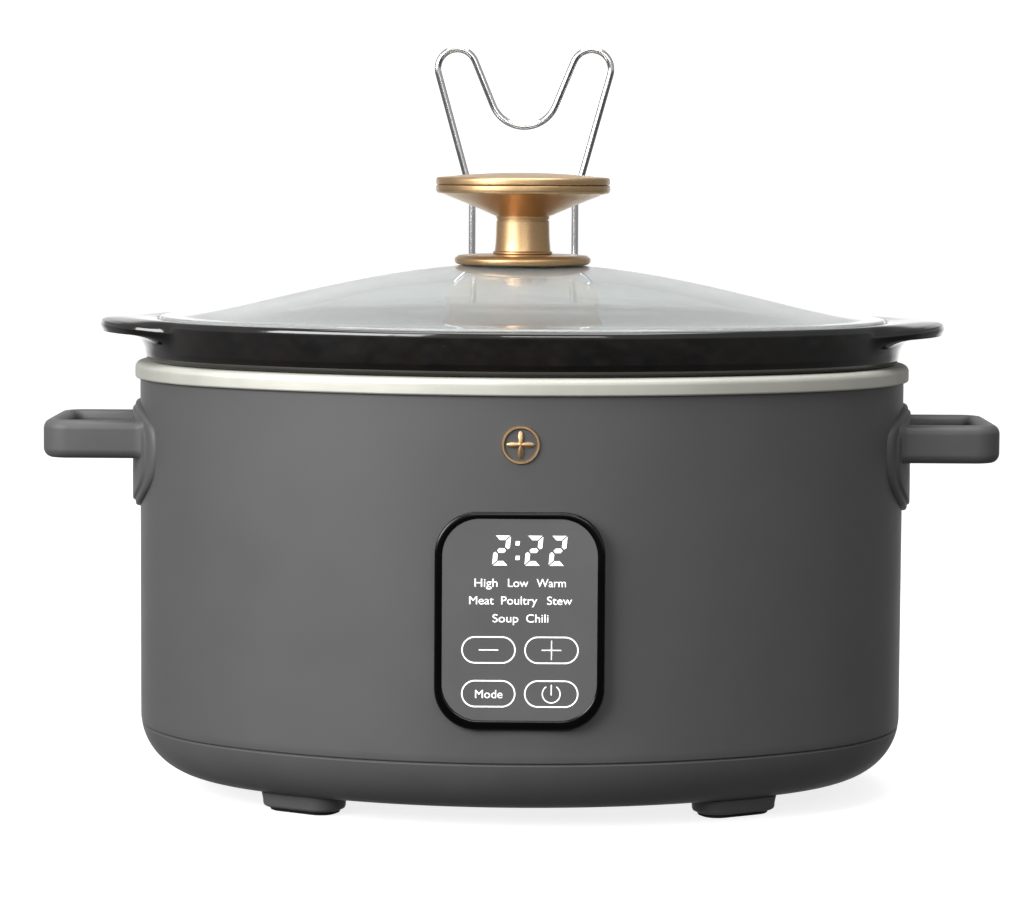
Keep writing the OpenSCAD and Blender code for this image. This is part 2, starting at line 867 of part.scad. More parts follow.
module lid_glass() {
    edge = flange_in + flange_w;
    shares = [1, 0.88, 0.76, 0.62, 0.48, 0.34, 0.2, 0.09];
    rings = concat(
        [for (s = [0.09, 0.2, 0.34, 0.48, 0.62, 0.76, 0.88, 0.97])
            glass_ring(edge, s, dome_top(s) - (s < 0.9 ? glass_t : flange_t))],
        [glass_ring(flange_in + 1.2, 1, flange_z), glass_ring(flange_in, 1, flange_z + 1.2),
            glass_ring(flange_in, 1, flange_z + flange_t - 1.2),
            glass_ring(flange_in + 1.2, 1, flange_z + flange_t)],
        [for (s = shares) glass_ring(edge, s, dome_top(s))]);
    count = len(rings);
    points = concat([for (ring = rings) each ring], [[0, 0, dome_z - glass_t], [0, 0, dome_z]]);
    under = count * steps;
    over = under + 1;
    faces = concat(
        [for (i = [0:steps - 1]) [under, (i + 1) % steps, i]],
        [for (k = [0:count - 2], i = [0:steps - 1]) let (j = (i + 1) % steps)
            each [[k * steps + i, k * steps + j, (k + 1) * steps + j],
                [k * steps + i, (k + 1) * steps + j, (k + 1) * steps + i]]],
        [for (i = [0:steps - 1]) [over, (count - 1) * steps + i, (count - 1) * steps + (i + 1) % steps]]);
    color("#dfe6ea")
        difference() {
            polyhedron(points = points, faces = faces, convexity = 4);
            cylinder(h = 300, r = 3.2);
        }
}

base_under = dome_z + 1.2;
neck_foot = base_under + 2.6;
neck_top = base_under + 18.5;
cone_top = neck_top + 15.6;

module knob_gasket_upper() {
    color("#d9d9d9")
        difference() {
            translate([0, 0, dome_z + 0.05]) cylinder(h = base_under - dome_z - 0.1, r = 11);
            cylinder(h = 300, r = 2.6);
        }
}

module knob_gasket_lower() {
    color("#d9d9d9")
        difference() {
            translate([0, 0, dome_z - glass_t - 1.7]) cylinder(h = 1.2, r = 9);
            cylinder(h = 300, r = 2.6);
        }
}

module knob_washer() {
    color(steel)
        difference() {
            translate([0, 0, dome_z - glass_t - 2.75]) cylinder(h = 1, r = 7.5);
            cylinder(h = 300, r = 2.6);
        }
}

module knob_screw() {
    color(steel)
        translate([0, 0, dome_z - glass_t - 2.8])
            mirror([0, 0, 1]) pan_screw(2.3, 32, 4.6, 3);
}

module knob_base() {
    color(gold)
        rotate_extrude()
            polygon(concat(
                [[2.6, base_under], [13, base_under], [20, base_under - 0.5]],
                arc(29, base_under - 0.1, 2.1, 270, 360, 4),
                [[30.9, base_under + 0.7], [29.6, base_under + 1.5], [26, base_under + 2.1],
                    [14, base_under + 2.5], [2.6, base_under + 2.5]]));
}

module knob_neck() {
    color(gold)
        rotate_extrude()
            polygon([[2.6, neck_foot], [13.6, neck_foot], [13, neck_foot + 0.9], [12.7, neck_foot + 2],
                [12.2, neck_foot + 8], [12, neck_top - 0.5], [11.6, neck_top], [2.6, neck_top]]);
}

module knob_cone() {
    color(gold)
        difference() {
            rotate_extrude()
                polygon(concat(
                    [[0, neck_top + 0.05], [12, neck_top + 0.05], [12.2, neck_top + 2.1],
                        [14, neck_top + 3.5], [26, neck_top + 8.3], [35, neck_top + 11.5]],
                    arc(37.7, cone_top - 1.9, 2, 280, 360, 4),
                    [[knob_r, cone_top - 0.6], [knob_r - 0.8, cone_top], [0, cone_top]]));
            translate([0, 0, neck_top - 1]) cylinder(h = 13, r = 2.35);
        }
}

module knob_cap() {
    color(gold)
        rotate_extrude()
            polygon(concat(
                [[0, cone_top + 0.05], [knob_r - 0.8, cone_top + 0.05], [knob_r, cone_top + 0.7]],
                arc(37.9, cone_top + 2.1, 1.8, 0, 70, 4),
                [[34, cone_top + 4.4], [24, cone_top + 5.2], [0, cone_top + 5.5]]));
}

outer_wall();
heating_well();
base_pan();
bottom_cover();
foot();  // foot_front_right
mirror([1, 0, 0]) foot();  // foot_front_left
mirror([0, 1, 0]) foot();  // foot_rear_right
mirror([1, 0, 0]) mirror([0, 1, 0]) foot();  // foot_rear_left
foot_pad();  // pad_front_right
mirror([1, 0, 0]) foot_pad();  // pad_front_left
mirror([0, 1, 0]) foot_pad();  // pad_rear_right
mirror([1, 0, 0]) mirror([0, 1, 0]) foot_pad();  // pad_rear_left
handle();  // handle_right
mirror([1, 0, 0]) handle();  // handle_left
handle_screws();
handle_washers();
holder_bracket();
bracket_screws();
lid_holder_wire();
cord_gland();
badge();
bezel();
touch_lens();
light_guide();
display_module();
key_sensors();
control_board();
control_cover();
panel_screws();
control_cable();
heater_band();
band_strap(band_z0 + band_h - 14);  // band_strap_upper
band_strap(band_z0 + 8);  // band_strap_lower
band_springs();
temperature_sensor();
sensor_bracket();
thermal_fuse();
fuse_clip();
centre_stud();
centre_spacer();
centre_nut();
base_screws();
power_board();
board_standoffs();
relay();
transformer();
filter_capacitor();
mains_terminal();
heat_shield();
heater_leads();
stoneware_crock();
lid_glass();
knob_gasket_upper();
knob_gasket_lower();
knob_washer();
knob_screw();
knob_base();
knob_neck();
knob_cone();
knob_cap();
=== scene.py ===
"""Oval slow cooker: the visible surfaces and finishes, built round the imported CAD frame.

Every length is in metres unless its name ends in _mm. Shapes are surfaces over a grid of two
parameters, worked out with numpy. The oval is the wall's outside; an inset is a distance in from it.
"""

import json
import math

import bmesh
import bpy
import numpy as np
from bpy.props import FloatProperty, FloatVectorProperty, PointerProperty, StringProperty
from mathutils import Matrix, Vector


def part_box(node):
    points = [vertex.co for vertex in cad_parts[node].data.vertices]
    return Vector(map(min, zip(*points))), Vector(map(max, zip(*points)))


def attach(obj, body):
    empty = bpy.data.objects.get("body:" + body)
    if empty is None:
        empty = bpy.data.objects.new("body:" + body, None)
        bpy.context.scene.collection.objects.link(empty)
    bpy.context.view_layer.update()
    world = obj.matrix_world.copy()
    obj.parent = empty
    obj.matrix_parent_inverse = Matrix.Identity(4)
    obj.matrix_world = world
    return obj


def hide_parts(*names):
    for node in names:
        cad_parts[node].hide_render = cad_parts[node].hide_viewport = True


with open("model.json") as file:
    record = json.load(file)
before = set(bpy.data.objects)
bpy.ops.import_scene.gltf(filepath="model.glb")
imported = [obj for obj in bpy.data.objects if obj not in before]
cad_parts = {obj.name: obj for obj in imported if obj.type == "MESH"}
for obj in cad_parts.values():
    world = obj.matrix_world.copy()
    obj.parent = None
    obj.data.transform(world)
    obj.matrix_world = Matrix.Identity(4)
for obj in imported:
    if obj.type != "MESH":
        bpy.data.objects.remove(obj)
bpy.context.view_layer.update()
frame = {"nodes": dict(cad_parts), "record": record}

bl_info = {
    "name": "Oval slow cooker",
    "version": (1, 0, 0),
    "blender": (4, 5, 0),
    "location": "View3D > Sidebar > Slow cooker",
    "description": "Builds the visible surfaces of an oval slow cooker round its CAD frame",
    "category": "Add Mesh",
}

MM = 0.001


# ---- measures taken from the frame ----

def box_mm(node):
    """A CAD node's lowest and highest corners, in millimetres."""
    low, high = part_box(node)
    return np.array(low) / MM, np.array(high) / MM


WALL_LOW, WALL_HIGH = box_mm("outer_wall")
HALF_W, HALF_D = WALL_HIGH[0], WALL_HIGH[1]
# The oval is four arcs. Its middle and the centres of two next arcs make a 3-4-5 triangle.
THIRD = (HALF_W - HALF_D) / 2
END_C, SIDE_C = 3 * THIRD, 4 * THIRD
END_R = HALF_W - END_C
SIDE_R = END_R + 5 * THIRD
WEDGE = math.atan2(SIDE_C, END_C)
ROUND_STEPS = 288


def srgb(code):
    """The linear colour, with alpha, of an sRGB hex code."""
    parts = np.array([int(code[i:i + 2], 16) for i in (1, 3, 5)]) / 255
    low, high = parts / 12.92, ((parts + 0.055) / 1.055) ** 2.4
    return (*np.where(parts <= 0.04045, low, high).tolist(), 1.0)


# ---- curves and surfaces ----

def arc(centre, radius, start, stop, steps=8):
    """Points on a circle, from one angle to another in degrees, both ends kept."""
    turn = np.radians(np.linspace(start, stop, steps + 1))
    return np.column_stack([centre[0] + radius * np.cos(turn), centre[1] + radius * np.sin(turn)])


def run(*pieces):
    """One outline from points and arcs laid end to end."""
    return np.vstack([np.atleast_2d(np.asarray(piece, float)) for piece in pieces])


def rounded_box(width, height, radius, steps=10):
    """A rectangle with round corners, anticlockwise from the middle of its right side."""
    half_w, half_h = width / 2 - radius, height / 2 - radius
    corners = [arc((sx * half_w, sy * half_h), radius, a, a + 90, steps)
               for sx, sy, a in ((1, 1, 0), (-1, 1, 90), (-1, -1, 180), (1, -1, 270))]
    return run(*corners)


def oval_angles(count=ROUND_STEPS):
    """Directions of the oval's normal, spaced so that the points are evenly far apart: each arc
    takes as many as its share of the length, and the spacing is read back from that length."""
    knots = np.array([0, WEDGE, math.pi - WEDGE, math.pi + WEDGE, 2 * math.pi - WEDGE, 2 * math.pi])
    radii = np.array([END_R, SIDE_R, END_R, SIDE_R, END_R])
    length = np.concatenate([[0], np.cumsum(np.diff(knots) * radii)])
    return np.interp(np.linspace(0, length[-1], count, endpoint=False), length, knots)


def oval_points(inset, angles):
    """Points of the oval at an inset, for each direction of its normal: the arc's own centre plus
    the arc's radius, less the inset, along the normal."""
    cos, sin = np.cos(angles), np.sin(angles)
    at_end = np.abs(sin) < math.sin(WEDGE)
    inset = np.broadcast_to(inset, np.broadcast_shapes(np.shape(inset), angles.shape))
    radius = np.where(at_end, END_R, SIDE_R) - inset
    centre_x = np.where(at_end, np.sign(cos) * END_C, 0.0)
    centre_y = np.where(at_end, 0.0, -np.sign(sin) * SIDE_C)
    return np.stack([centre_x + radius * cos, centre_y + radius * sin], axis=-1)


def oval_sweep(profile, angles=None):
    """A grid round the oval: at each direction the profile's first number is its inset and its
    second its height."""
    angles = oval_angles() if angles is None else angles
    plan = oval_points(profile[None, :, 0], angles[:, None])
    height = np.broadcast_to(profile[None, :, 1], plan.shape[:2])
    return np.concatenate([plan, height[..., None]], axis=-1)


def lathe(profile, steps=96):
    """A grid round the upright axis: the profile's first number is its radius, its second its
    height."""
    turn = np.linspace(0, 2 * math.pi, steps, endpoint=False)[:, None]
    radius, height = profile[None, :, 0], profile[None, :, 1]
    return np.stack([radius * np.cos(turn), radius * np.sin(turn), height + 0 * turn], axis=-1)


def heading(path):
    """The direction of a path at each of its points, one unit long."""
    along = np.gradient(path, axis=0)
    return along / np.linalg.norm(along, axis=1)[:, None]


def distances(line):
    """How far round a closed line each of its points is, with the whole length at the end."""
    step = np.linalg.norm(np.roll(line, -1, axis=0) - line, axis=1)
    return np.concatenate([[0], np.cumsum(step)])


def tube(path, radius, sides=32):
    """A grid along a path that lies in an upright plane across Y: at each point a circle across
    the path's direction, set out from Y and the sideways direction."""
    level = np.array([0.0, 1.0, 0.0])
    side = np.cross(heading(path), level)
    turn = np.linspace(0, 2 * math.pi, sides, endpoint=False)
    ring = np.cos(turn)[None, :, None] * level + np.sin(turn)[None, :, None] * side[:, None, :]
    return path[:, None, :] + radius[:, None, None] * ring


def skin(name, grid, wrap_rows=True, wrap_columns=False, cap_rows=False, cap_columns=False):
    """A mesh object over a grid of points: a quad between each four neighbours, wrapped round in
    either direction where asked, and closed by a flat face over its first and last row or column.
    Its UV map is the distance along the rows and along the columns, in metres."""
    grid = grid * MM
    rows, columns = grid.shape[:2]
    i, j = np.meshgrid(np.arange(rows if wrap_rows else rows - 1),
                       np.arange(columns if wrap_columns else columns - 1), indexing="ij")
    i, j = i.ravel(), j.ravel()
    corners_i = np.stack([i, i + 1, i + 1, i], axis=1)
    corners_j = np.stack([j, j, j + 1, j + 1], axis=1)
    faces = ((corners_i % rows) * columns + corners_j % columns).tolist()
    if cap_columns:
        faces += [(np.arange(rows) * columns).tolist(),
                  (np.arange(rows) * columns + columns - 1)[::-1].tolist()]
    if cap_rows:
        faces += [np.arange(columns)[::-1].tolist(),
                  (np.arange(columns) + (rows - 1) * columns).tolist()]
    mesh = bpy.data.meshes.new(name)
    mesh.from_pydata(grid.reshape(-1, 3).tolist(), [], faces)

    widest = grid[:, np.argmax(np.abs(grid[..., :2]).sum((0, 2)))]
    u, v = distances(widest)[corners_i], distances(grid[0])[corners_j]
    places = np.zeros((len(mesh.loops), 2), np.float32)
    places[:u.size] = np.column_stack([u.ravel(), v.ravel()])
    layer = mesh.uv_layers.new(name="Surface")
    layer.data.foreach_set("uv", places.ravel())
    return link(name, mesh)


def link(name, mesh):
    """An object for a mesh, smooth, with sharp edges kept and its faces turned outwards."""
    solid = bmesh.new()
    solid.from_mesh(mesh)
    bmesh.ops.remove_doubles(solid, verts=solid.verts, dist=1e-7)
    bmesh.ops.recalc_face_normals(solid, faces=solid.faces)
    solid.to_mesh(mesh)
    solid.free()
    mesh.shade_smooth()
    mesh.set_sharp_from_angle(angle=math.radians(42))
    piece = bpy.data.objects.new(name, mesh)
    bpy.context.scene.collection.objects.link(piece)
    weighted = piece.modifiers.new("Weighted normals", "WEIGHTED_NORMAL")
    weighted.keep_sharp = True
    weighted.weight = 90
    return piece


def join(name, pieces):
    """One object made of several, whose meshes are added together."""
    solid = bmesh.new()
    for piece in pieces:
        solid.from_mesh(piece.data)
    mesh = bpy.data.meshes.new(name)
    solid.to_mesh(mesh)
    solid.free()
    for piece in pieces:
        bpy.data.objects.remove(piece)
    return link(name, mesh)


def place(piece, body, slot, material, *replaced):
    """Gives a piece its material, lets it ride on its body and hides what it stands for. The slot is
    not used.
    """
    piece.data.materials.clear()
    piece.data.materials.append(material)
    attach(piece, body)
    if replaced:
        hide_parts(*replaced)
    return piece


# ---- materials ----

def new_material(name):
    """An empty node material and its tree, which every finish below starts from."""
    material = bpy.data.materials.new(name)
    material.use_nodes = True
    tree = material.node_tree
    tree.nodes.clear()
    return material, tree


def add(tree, kind, sockets=None, **settings):
    """Adds a node with its settings, and sets or links its sockets by name."""
    node = tree.nodes.new(kind)
    for key, value in settings.items():
        setattr(node, key, value)
    for key, value in (sockets or {}).items():
        socket = node.inputs[key]
        if isinstance(value, bpy.types.NodeSocket):
            tree.links.new(value, socket)
        else:
            socket.default_value = value
    return node


def per_mm(size_mm):
    """The scale of a texture whose features are this many millimetres across."""
    return 1.0 / (size_mm * MM)


def grain(tree, size_mm, detail=2.0, vector=None, stretch=(1.0, 1.0, 1.0)):
    """Noise with features of a real size, on the object's coordinates or the given vector."""
    if vector is None:
        vector = add(tree, "ShaderNodeTexCoord").outputs["Object"]
    spread = add(tree, "ShaderNodeMapping", {"Vector": vector, "Scale": stretch})
    return add(tree, "ShaderNodeTexNoise", {"Vector": spread.outputs["Vector"],
                                            "Scale": per_mm(size_mm), "Detail": detail,
                                            "Roughness": 0.55}).outputs["Fac"]


def drift(tree, source, low, high, detail=2.0):
    """A number that runs from low to high over a real distance in millimetres, or as the middle
    of a given noise does."""
    if not isinstance(source, bpy.types.NodeSocket):
        source = grain(tree, source, detail)
    return add(tree, "ShaderNodeMapRange", {"Value": source, "From Min": 0.3, "From Max": 0.7,
                                            "To Min": low, "To Max": high}).outputs["Result"]


def mix_by_noise(tree, size_mm, first, second, detail=3.0):
    """Two close colours that drift into each other over a real distance."""
    factor = drift(tree, size_mm, 0.0, 1.0, detail)
    return add(tree, "ShaderNodeMix", {0: factor, 6: first, 7: second},
               data_type="RGBA").outputs[2]


def surface(tree, sockets, relief=None, depth_mm=0.0):
    """The shader that a finish ends in, over a relief of a real depth."""
    if relief is not None:
        raised = add(tree, "ShaderNodeBump", {"Height": relief, "Distance": depth_mm * MM})
        sockets["Normal"] = raised.outputs["Normal"]
    shader = add(tree, "ShaderNodeBsdfPrincipled", sockets)
    add(tree, "ShaderNodeOutputMaterial", {"Surface": shader.outputs["BSDF"]})


def shade(colour, share):
    """The same colour at another brightness."""
    return (*[part * share for part in colour[:3]], 1.0)


def satin_paint(colour):
    """Powder-coated steel, baked: an even satin with faint orange peel that softens highlights."""
    material, tree = new_material("Powder coated steel")
    surface(tree, {
        "Base Color": mix_by_noise(tree, 45, shade(colour, 0.97), shade(colour, 1.03)),
        "Roughness": drift(tree, 22, 0.43, 0.50),
    }, grain(tree, 1.4, 1.0), 0.018)
    return material


def moulded_plastic(name, colour, roughness, texture_mm=0.5, depth_mm=0.02):
    """Injection moulded plastic: the tool's spark-eroded texture, drawn no finer than it can show,
    with slow changes of sheen across the part."""
    material, tree = new_material(name)
    surface(tree, {
        "Base Color": mix_by_noise(tree, 30, shade(colour, 0.95), shade(colour, 1.05)),
        "Roughness": drift(tree, 18, roughness - 0.04, roughness + 0.04),
        "IOR": 1.46,
    }, grain(tree, texture_mm, 3.0), depth_mm)
    return material


def brushed_steel():
    """Aluminised sheet steel, polished along the rim: fine lines that run round it, broken up, on
    a pale warm metal."""
    material, tree = new_material("Brushed aluminised steel")
    place_on = add(tree, "ShaderNodeUVMap", uv_map="Surface").outputs["UV"]
    lines = grain(tree, 0.35, 4.0, place_on, (0.012, 1.0, 1.0))
    surface(tree, {
        "Base Color": mix_by_noise(tree, 25, srgb("#cccbc2"), srgb("#d6d5cc")),
        "Metallic": 0.75,
        "Roughness": drift(tree, lines, 0.58, 0.72),
    }, lines, 0.03)
    return material


def black_glaze():
    """Stoneware dipped in black gloss glaze and fired: a glassy coat with long shallow waves, a
    few pinholes and a hint of brown where the glaze ran thin."""
    material, tree = new_material("Black glazed stoneware")
    coordinates = add(tree, "ShaderNodeTexCoord").outputs["Object"]
    pits = add(tree, "ShaderNodeTexVoronoi", {"Vector": coordinates, "Scale": per_mm(14)})
    hole = add(tree, "ShaderNodeMapRange", {"Value": pits.outputs["Distance"], "From Max": 0.03})
    waves = add(tree, "ShaderNodeBump", {"Height": grain(tree, 9, 1.0), "Distance": 0.10 * MM})
    holed = add(tree, "ShaderNodeBump", {"Height": hole.outputs["Result"], "Distance": 0.06 * MM,
                                         "Normal": waves.outputs["Normal"]})
    surface(tree, {
        "Base Color": mix_by_noise(tree, 12, srgb("#0b0b0d"), srgb("#17130f"), 4.0),
        "Roughness": drift(tree, 30, 0.09, 0.15),
        "Normal": holed.outputs["Normal"],
        "IOR": 1.54,
        "Coat Weight": 0.6,
        "Coat Roughness": 0.03,
    })
    return material


def tempered_glass():
    """Pressed and tempered soda-lime glass: clear, a breath of green, with the very shallow
    ripple that pressing leaves."""
    material, tree = new_material("Tempered soda lime glass")
    surface(tree, {
        "Base Color": srgb("#f4f8f7"),
        "Roughness": 0.0,
        "IOR": 1.52,
        "Transmission Weight": 0.8,
    }, grain(tree, 35, 0.0), 0.05)
    return material


def champagne_metal(colour):
    """Turned zinc under champagne metallic lacquer: a satin metal with fine flake and the faint
    rings of turning."""
    material, tree = new_material("Champagne lacquered zinc")
    coordinates = add(tree, "ShaderNodeTexCoord").outputs["Object"]
    parts = add(tree, "ShaderNodeSeparateXYZ", {"Vector": coordinates})
    flake = grain(tree, 0.35, 1.0)
    rings = add(tree, "ShaderNodeTexNoise", {"W": parts.outputs["Z"], "Scale": per_mm(0.5)},
                noise_dimensions="1D").outputs["Fac"]
    both = add(tree, "ShaderNodeMath", {0: flake, 1: rings}, operation="ADD")
    surface(tree, {
        "Base Color": mix_by_noise(tree, 0.5, shade(colour, 0.9), shade(colour, 1.08), 1.0),
        "Metallic": 1.0,
        "Roughness": drift(tree, 6, 0.36, 0.44),
        "Coat Weight": 0.5,
        "Coat Roughness": 0.3,
    }, both.outputs[0], 0.012)
    return material


def chromed_wire():
    """Bent steel wire, nickel and chromium plated: bright, softened a little by faint drawing
    lines."""
    material, tree = new_material("Chromium plated wire")
    drawn = grain(tree, 4.0, 2.0, None, (1.0, 1.0, 0.2))
    surface(tree, {
        "Base Color": srgb("#e9eaec"),
        "Metallic": 1.0,
        "Roughness": drift(tree, drawn, 0.14, 0.20),
    }, drawn, 0.003)
    return material


def plated_steel():
    """Zinc plated steel fittings: dull bright metal with a soft mottle."""
    material, tree = new_material("Zinc plated steel")
    surface(tree, {
        "Base Color": mix_by_noise(tree, 5, srgb("#a9a9a4"), srgb("#c9c9c6")),
        "Metallic": 1.0,
        "Roughness": drift(tree, 2.5, 0.28, 0.45, 4.0),
    }, grain(tree, 0.8, 3.0), 0.01)
    return material


def lit_print(brightness):
    """White lamps behind a printed film: an even glow that drifts a little in brightness over a few
    millimetres.
    """
    material, tree = new_material("White backlit print")
    surface(tree, {
        "Base Color": srgb("#ffffff"),
        "Emission Color": mix_by_noise(tree, 4, srgb("#f4f6f6"), srgb("#ffffff")),
        "Emission Strength": brightness,
        "Roughness": 0.5,
    })
    return material


def solder_mask():
    """Glass-epoxy board under green solder mask, with darker tracks showing through."""
    material, tree = new_material("Green solder mask")
    coordinates = add(tree, "ShaderNodeTexCoord").outputs["Object"]
    tracks = add(tree, "ShaderNodeTexBrick", {"Vector": coordinates, "Scale": per_mm(6),
                                              "Color1": srgb("#1f5a33"), "Color2": srgb("#256b3d"),
                                              "Mortar": srgb("#3f8a58"), "Mortar Size": 0.03})
    surface(tree, {
        "Base Color": tracks.outputs["Color"],
        "Roughness": 0.3,
    }, grain(tree, 0.6), 0.01)
    return material


def woven_sleeve(name, colour):
    """Woven glass-fibre sleeving: a fine diagonal weave, matte and slightly fuzzy."""
    material, tree = new_material(name)
    coordinates = add(tree, "ShaderNodeTexCoord").outputs["Object"]
    weave = add(tree, "ShaderNodeTexWave", {"Vector": coordinates, "Scale": per_mm(4),
                                            "Distortion": 1.5, "Detail": 2.0},
                bands_direction="DIAGONAL")
    surface(tree, {
        "Base Color": mix_by_noise(tree, 3, shade(colour, 0.85), shade(colour, 1.1)),
        "Roughness": 0.85,
        "Sheen Weight": 0.3,
    }, weave.outputs["Fac"], 0.08)
    return material


MADE = {}


def finish(name, maker, *values):
    """One material for each finish, made the first time that it is asked for."""
    if name not in MADE:
        MADE[name] = maker(*values)
    return MADE[name]


# ---- settings ----

def colour(name, description, code):
    """A colour that a user would change, from its sRGB hex code."""
    return FloatVectorProperty(name=name, description=description, subtype="COLOR", size=4, min=0,
                               max=1, default=srgb(code))


class SlowCookerSettings(bpy.types.PropertyGroup):
    """The sizes and colours that a user would change."""

    paint: colour("Wall paint", "Colour of the painted wall", "#545454")
    moulding: colour("Mouldings", "Colour of the base, feet and handles", "#555555")
    champagne: colour("Knob metal", "Colour of the knob and the emblem", "#d2ae80")
    print_glow: FloatProperty(
        name="Panel light", description="Brightness of the lit print", default=0.9, min=0, max=5)
    clock: StringProperty(
        name="Clock", description="Hours and minutes that the display shows", default="2:22")
    lug_reach: FloatProperty(
        name="Lug reach", description="How far each lug stands out past the crock's rim",
        default=(box_mm("stoneware_crock")[1][0] - HALF_W + 2) * MM, subtype="DISTANCE",
        unit="LENGTH")
    wire_radius: FloatProperty(
        name="Wire radius", description="Radius of the lid holder's wire",
        default=0.0017, subtype="DISTANCE", unit="LENGTH")


class PieceOperator:
    """What every piece's operator shares."""

    bl_options = {"REGISTER", "UNDO"}

    def execute(self, context):
        self.build(context.scene.slow_cooker)
        return {"FINISHED"}


def grey_moulding(settings):
    return finish("grey", moulded_plastic, "Moulded grey polypropylene",
                  tuple(settings.moulding), 0.5)


# ---- the body ----

SKIRT_R = 27.0
BASE_Z = box_mm("base_pan")[0][2]
SKIRT_Z = BASE_Z + SKIRT_R
SEAM_Z = WALL_LOW[2] - 0.5
SHEET = 0.8


class OuterWall(PieceOperator, bpy.types.Operator):
    """Builds the painted wall, with its lower edge curled in to the seam"""

    bl_idname = "slow_cooker.outer_wall"
    bl_label = "Outer wall"

    def build(self, settings):
        bend = math.degrees(math.asin((SKIRT_Z - WALL_LOW[2]) / SKIRT_R))
        centre = (SKIRT_R, SKIRT_Z)
        profile = run(
            [[0, WALL_HIGH[2]], [0, SKIRT_Z + 3]],
            arc(centre, SKIRT_R, 180, 180 + bend - 1, 4),
            arc(centre, SKIRT_R - 0.4, 180 + bend - 0.2, 180 + bend, 1),
            arc(centre, SKIRT_R - SHEET, 180 + bend, 180, 3),
            [[SHEET, WALL_HIGH[2]]],
        )
        wall = skin("OuterWall", oval_sweep(profile), wrap_columns=True)
        place(wall, "base", "wall_paint", finish("paint", satin_paint, tuple(settings.paint)),
              "outer_wall")


class BasePan(PieceOperator, bpy.types.Operator):
    """Builds the moulded base, whose side curves in under the wall"""

    bl_idname = "slow_cooker.base_pan"
    bl_label = "Base pan"

    def build(self, settings):
        start = math.degrees(math.asin((SKIRT_Z - SEAM_Z) / SKIRT_R))
        centre = (SKIRT_R, SKIRT_Z)
        floor, ledge_in, ledge_top = 3.0, 42.0, 1.4
        top = SEAM_Z + 8.5
        lift = math.degrees(math.acos((SKIRT_R - 3.6) / (SKIRT_R - floor)))
        profile = run(
            arc(centre, SKIRT_R - 0.5, 180 + start, 180 + start, 0),
            arc(centre, SKIRT_R, 180 + start + 1.2, 270, 18),
            [[ledge_in, BASE_Z], [ledge_in, BASE_Z + ledge_top]],
            [[ledge_in + 8, BASE_Z + ledge_top], [ledge_in + 8, BASE_Z + floor]],
            arc(centre, SKIRT_R - floor, 270, 180 + lift, 8),
            [[3.6, top], [1.6, top], [1.6, SEAM_Z + 0.3]],
        )
        pan = skin("BasePan", oval_sweep(profile), wrap_columns=True)
        place(pan, "base", "grey_moulding", grey_moulding(settings), "base_pan")


class HeatingWell(PieceOperator, bpy.types.Operator):
    """Builds the heating well with its rolled, brushed rim"""

    bl_idname = "slow_cooker.heating_well"
    bl_label = "Heating well"

    def build(self, settings):
        low, high = box_mm("heating_well")
        top = high[2]
        over = high[0] - HALF_W
        inner, thick, bend_r = 17.0, 1.0, 20.0
        floor = low[2] + thick
        roll = 2.8
        edge_x = roll - over
        profile = run(
            [[100, floor - thick]],
            arc((inner + bend_r, floor + bend_r), bend_r + thick, 270, 180, 10),
            arc((inner - 3.2, top - 4.2), 2.2, 0, 90, 4),
            [[6, top - 2.0]],
            arc((edge_x, top - roll), roll - 1, 90, 180, 4),
            [[1.0 - over, top - 6.6], [0.3, top - 6.9], [0.3, top - 7.4]],
            arc((0.9 - over, top - 6.5), 0.9, 270, 180, 4),
            arc((edge_x, top - roll), roll, 180, 90, 8),
            arc((inner - 3, top - 3), 3, 90, 0, 6),
            arc((inner + bend_r, floor + bend_r), bend_r, 180, 270, 12),
            [[100, floor]],
        )
        well = skin("HeatingWell", oval_sweep(profile), cap_columns=True)
        place(well, "base", "brushed_rim", finish("rim", brushed_steel), "heating_well")


FOOT_MID = math.radians(31 - 90)


def foot_grid(levels, half_arc, near, far, corner):
    """A foot: at each level a rectangle with round corners, drawn in by that level's inset, whose
    sides run out from the side arc's centre and round it."""
    rows = []
    for inset, height in levels:
        plan = rounded_box(2 * (half_arc - inset), far - near - 2 * inset, max(corner - inset, 0.5), 6)
        radius = (near + far) / 2 + plan[:, 1]
        angle = FOOT_MID + plan[:, 0] / ((near + far) / 2)
        rows.append(np.column_stack([radius * np.cos(angle), SIDE_C + radius * np.sin(angle),
                                     np.full(len(plan), height)]))
    return np.stack(rows, axis=1)


class Feet(PieceOperator, bpy.types.Operator):
    """Builds the moulded feet and the rubber pads under them"""

    bl_idname = "slow_cooker.feet"
    bl_label = "Feet"

    def build(self, settings):
        pad_top = box_mm("foot_front_right")[0][2]
        rubber = finish("rubber", moulded_plastic, "Black rubber", srgb("#171717"), 0.8, 0.8, 0.04)
        near, far = SIDE_R - 44, SIDE_R - 21.4
        steep = [(1.4, pad_top), (0.5, pad_top + 0.5), (0.1, pad_top + 1.4), (0, pad_top + 3),
                 (-0.6, BASE_Z - 0.1), (0.2, BASE_Z + 0.9)]
        flat = [(1.0, 0), (0.3, 0.3), (0, 0.9), (0, pad_top + 0.05)]
        for side, turn_x in (("right", 1), ("left", -1)):
            for end, turn_y in (("front", 1), ("rear", -1)):
                turn = [turn_x, turn_y, 1]
                foot = skin(f"Foot_{end}_{side}", foot_grid(steep, 19.0, near, far, 9.5) * turn,
                            cap_columns=True)
                place(foot, "base", "grey_moulding", grey_moulding(settings), f"foot_{end}_{side}")
                pad = skin(f"Pad_{end}_{side}",
                           foot_grid(flat, 16.4, near + 2.2, far - 3.0, 7.5) * turn, cap_columns=True)
                place(pad, "base", "black_rubber", rubber, f"pad_{end}_{side}")


# ---- the crock and its lid ----

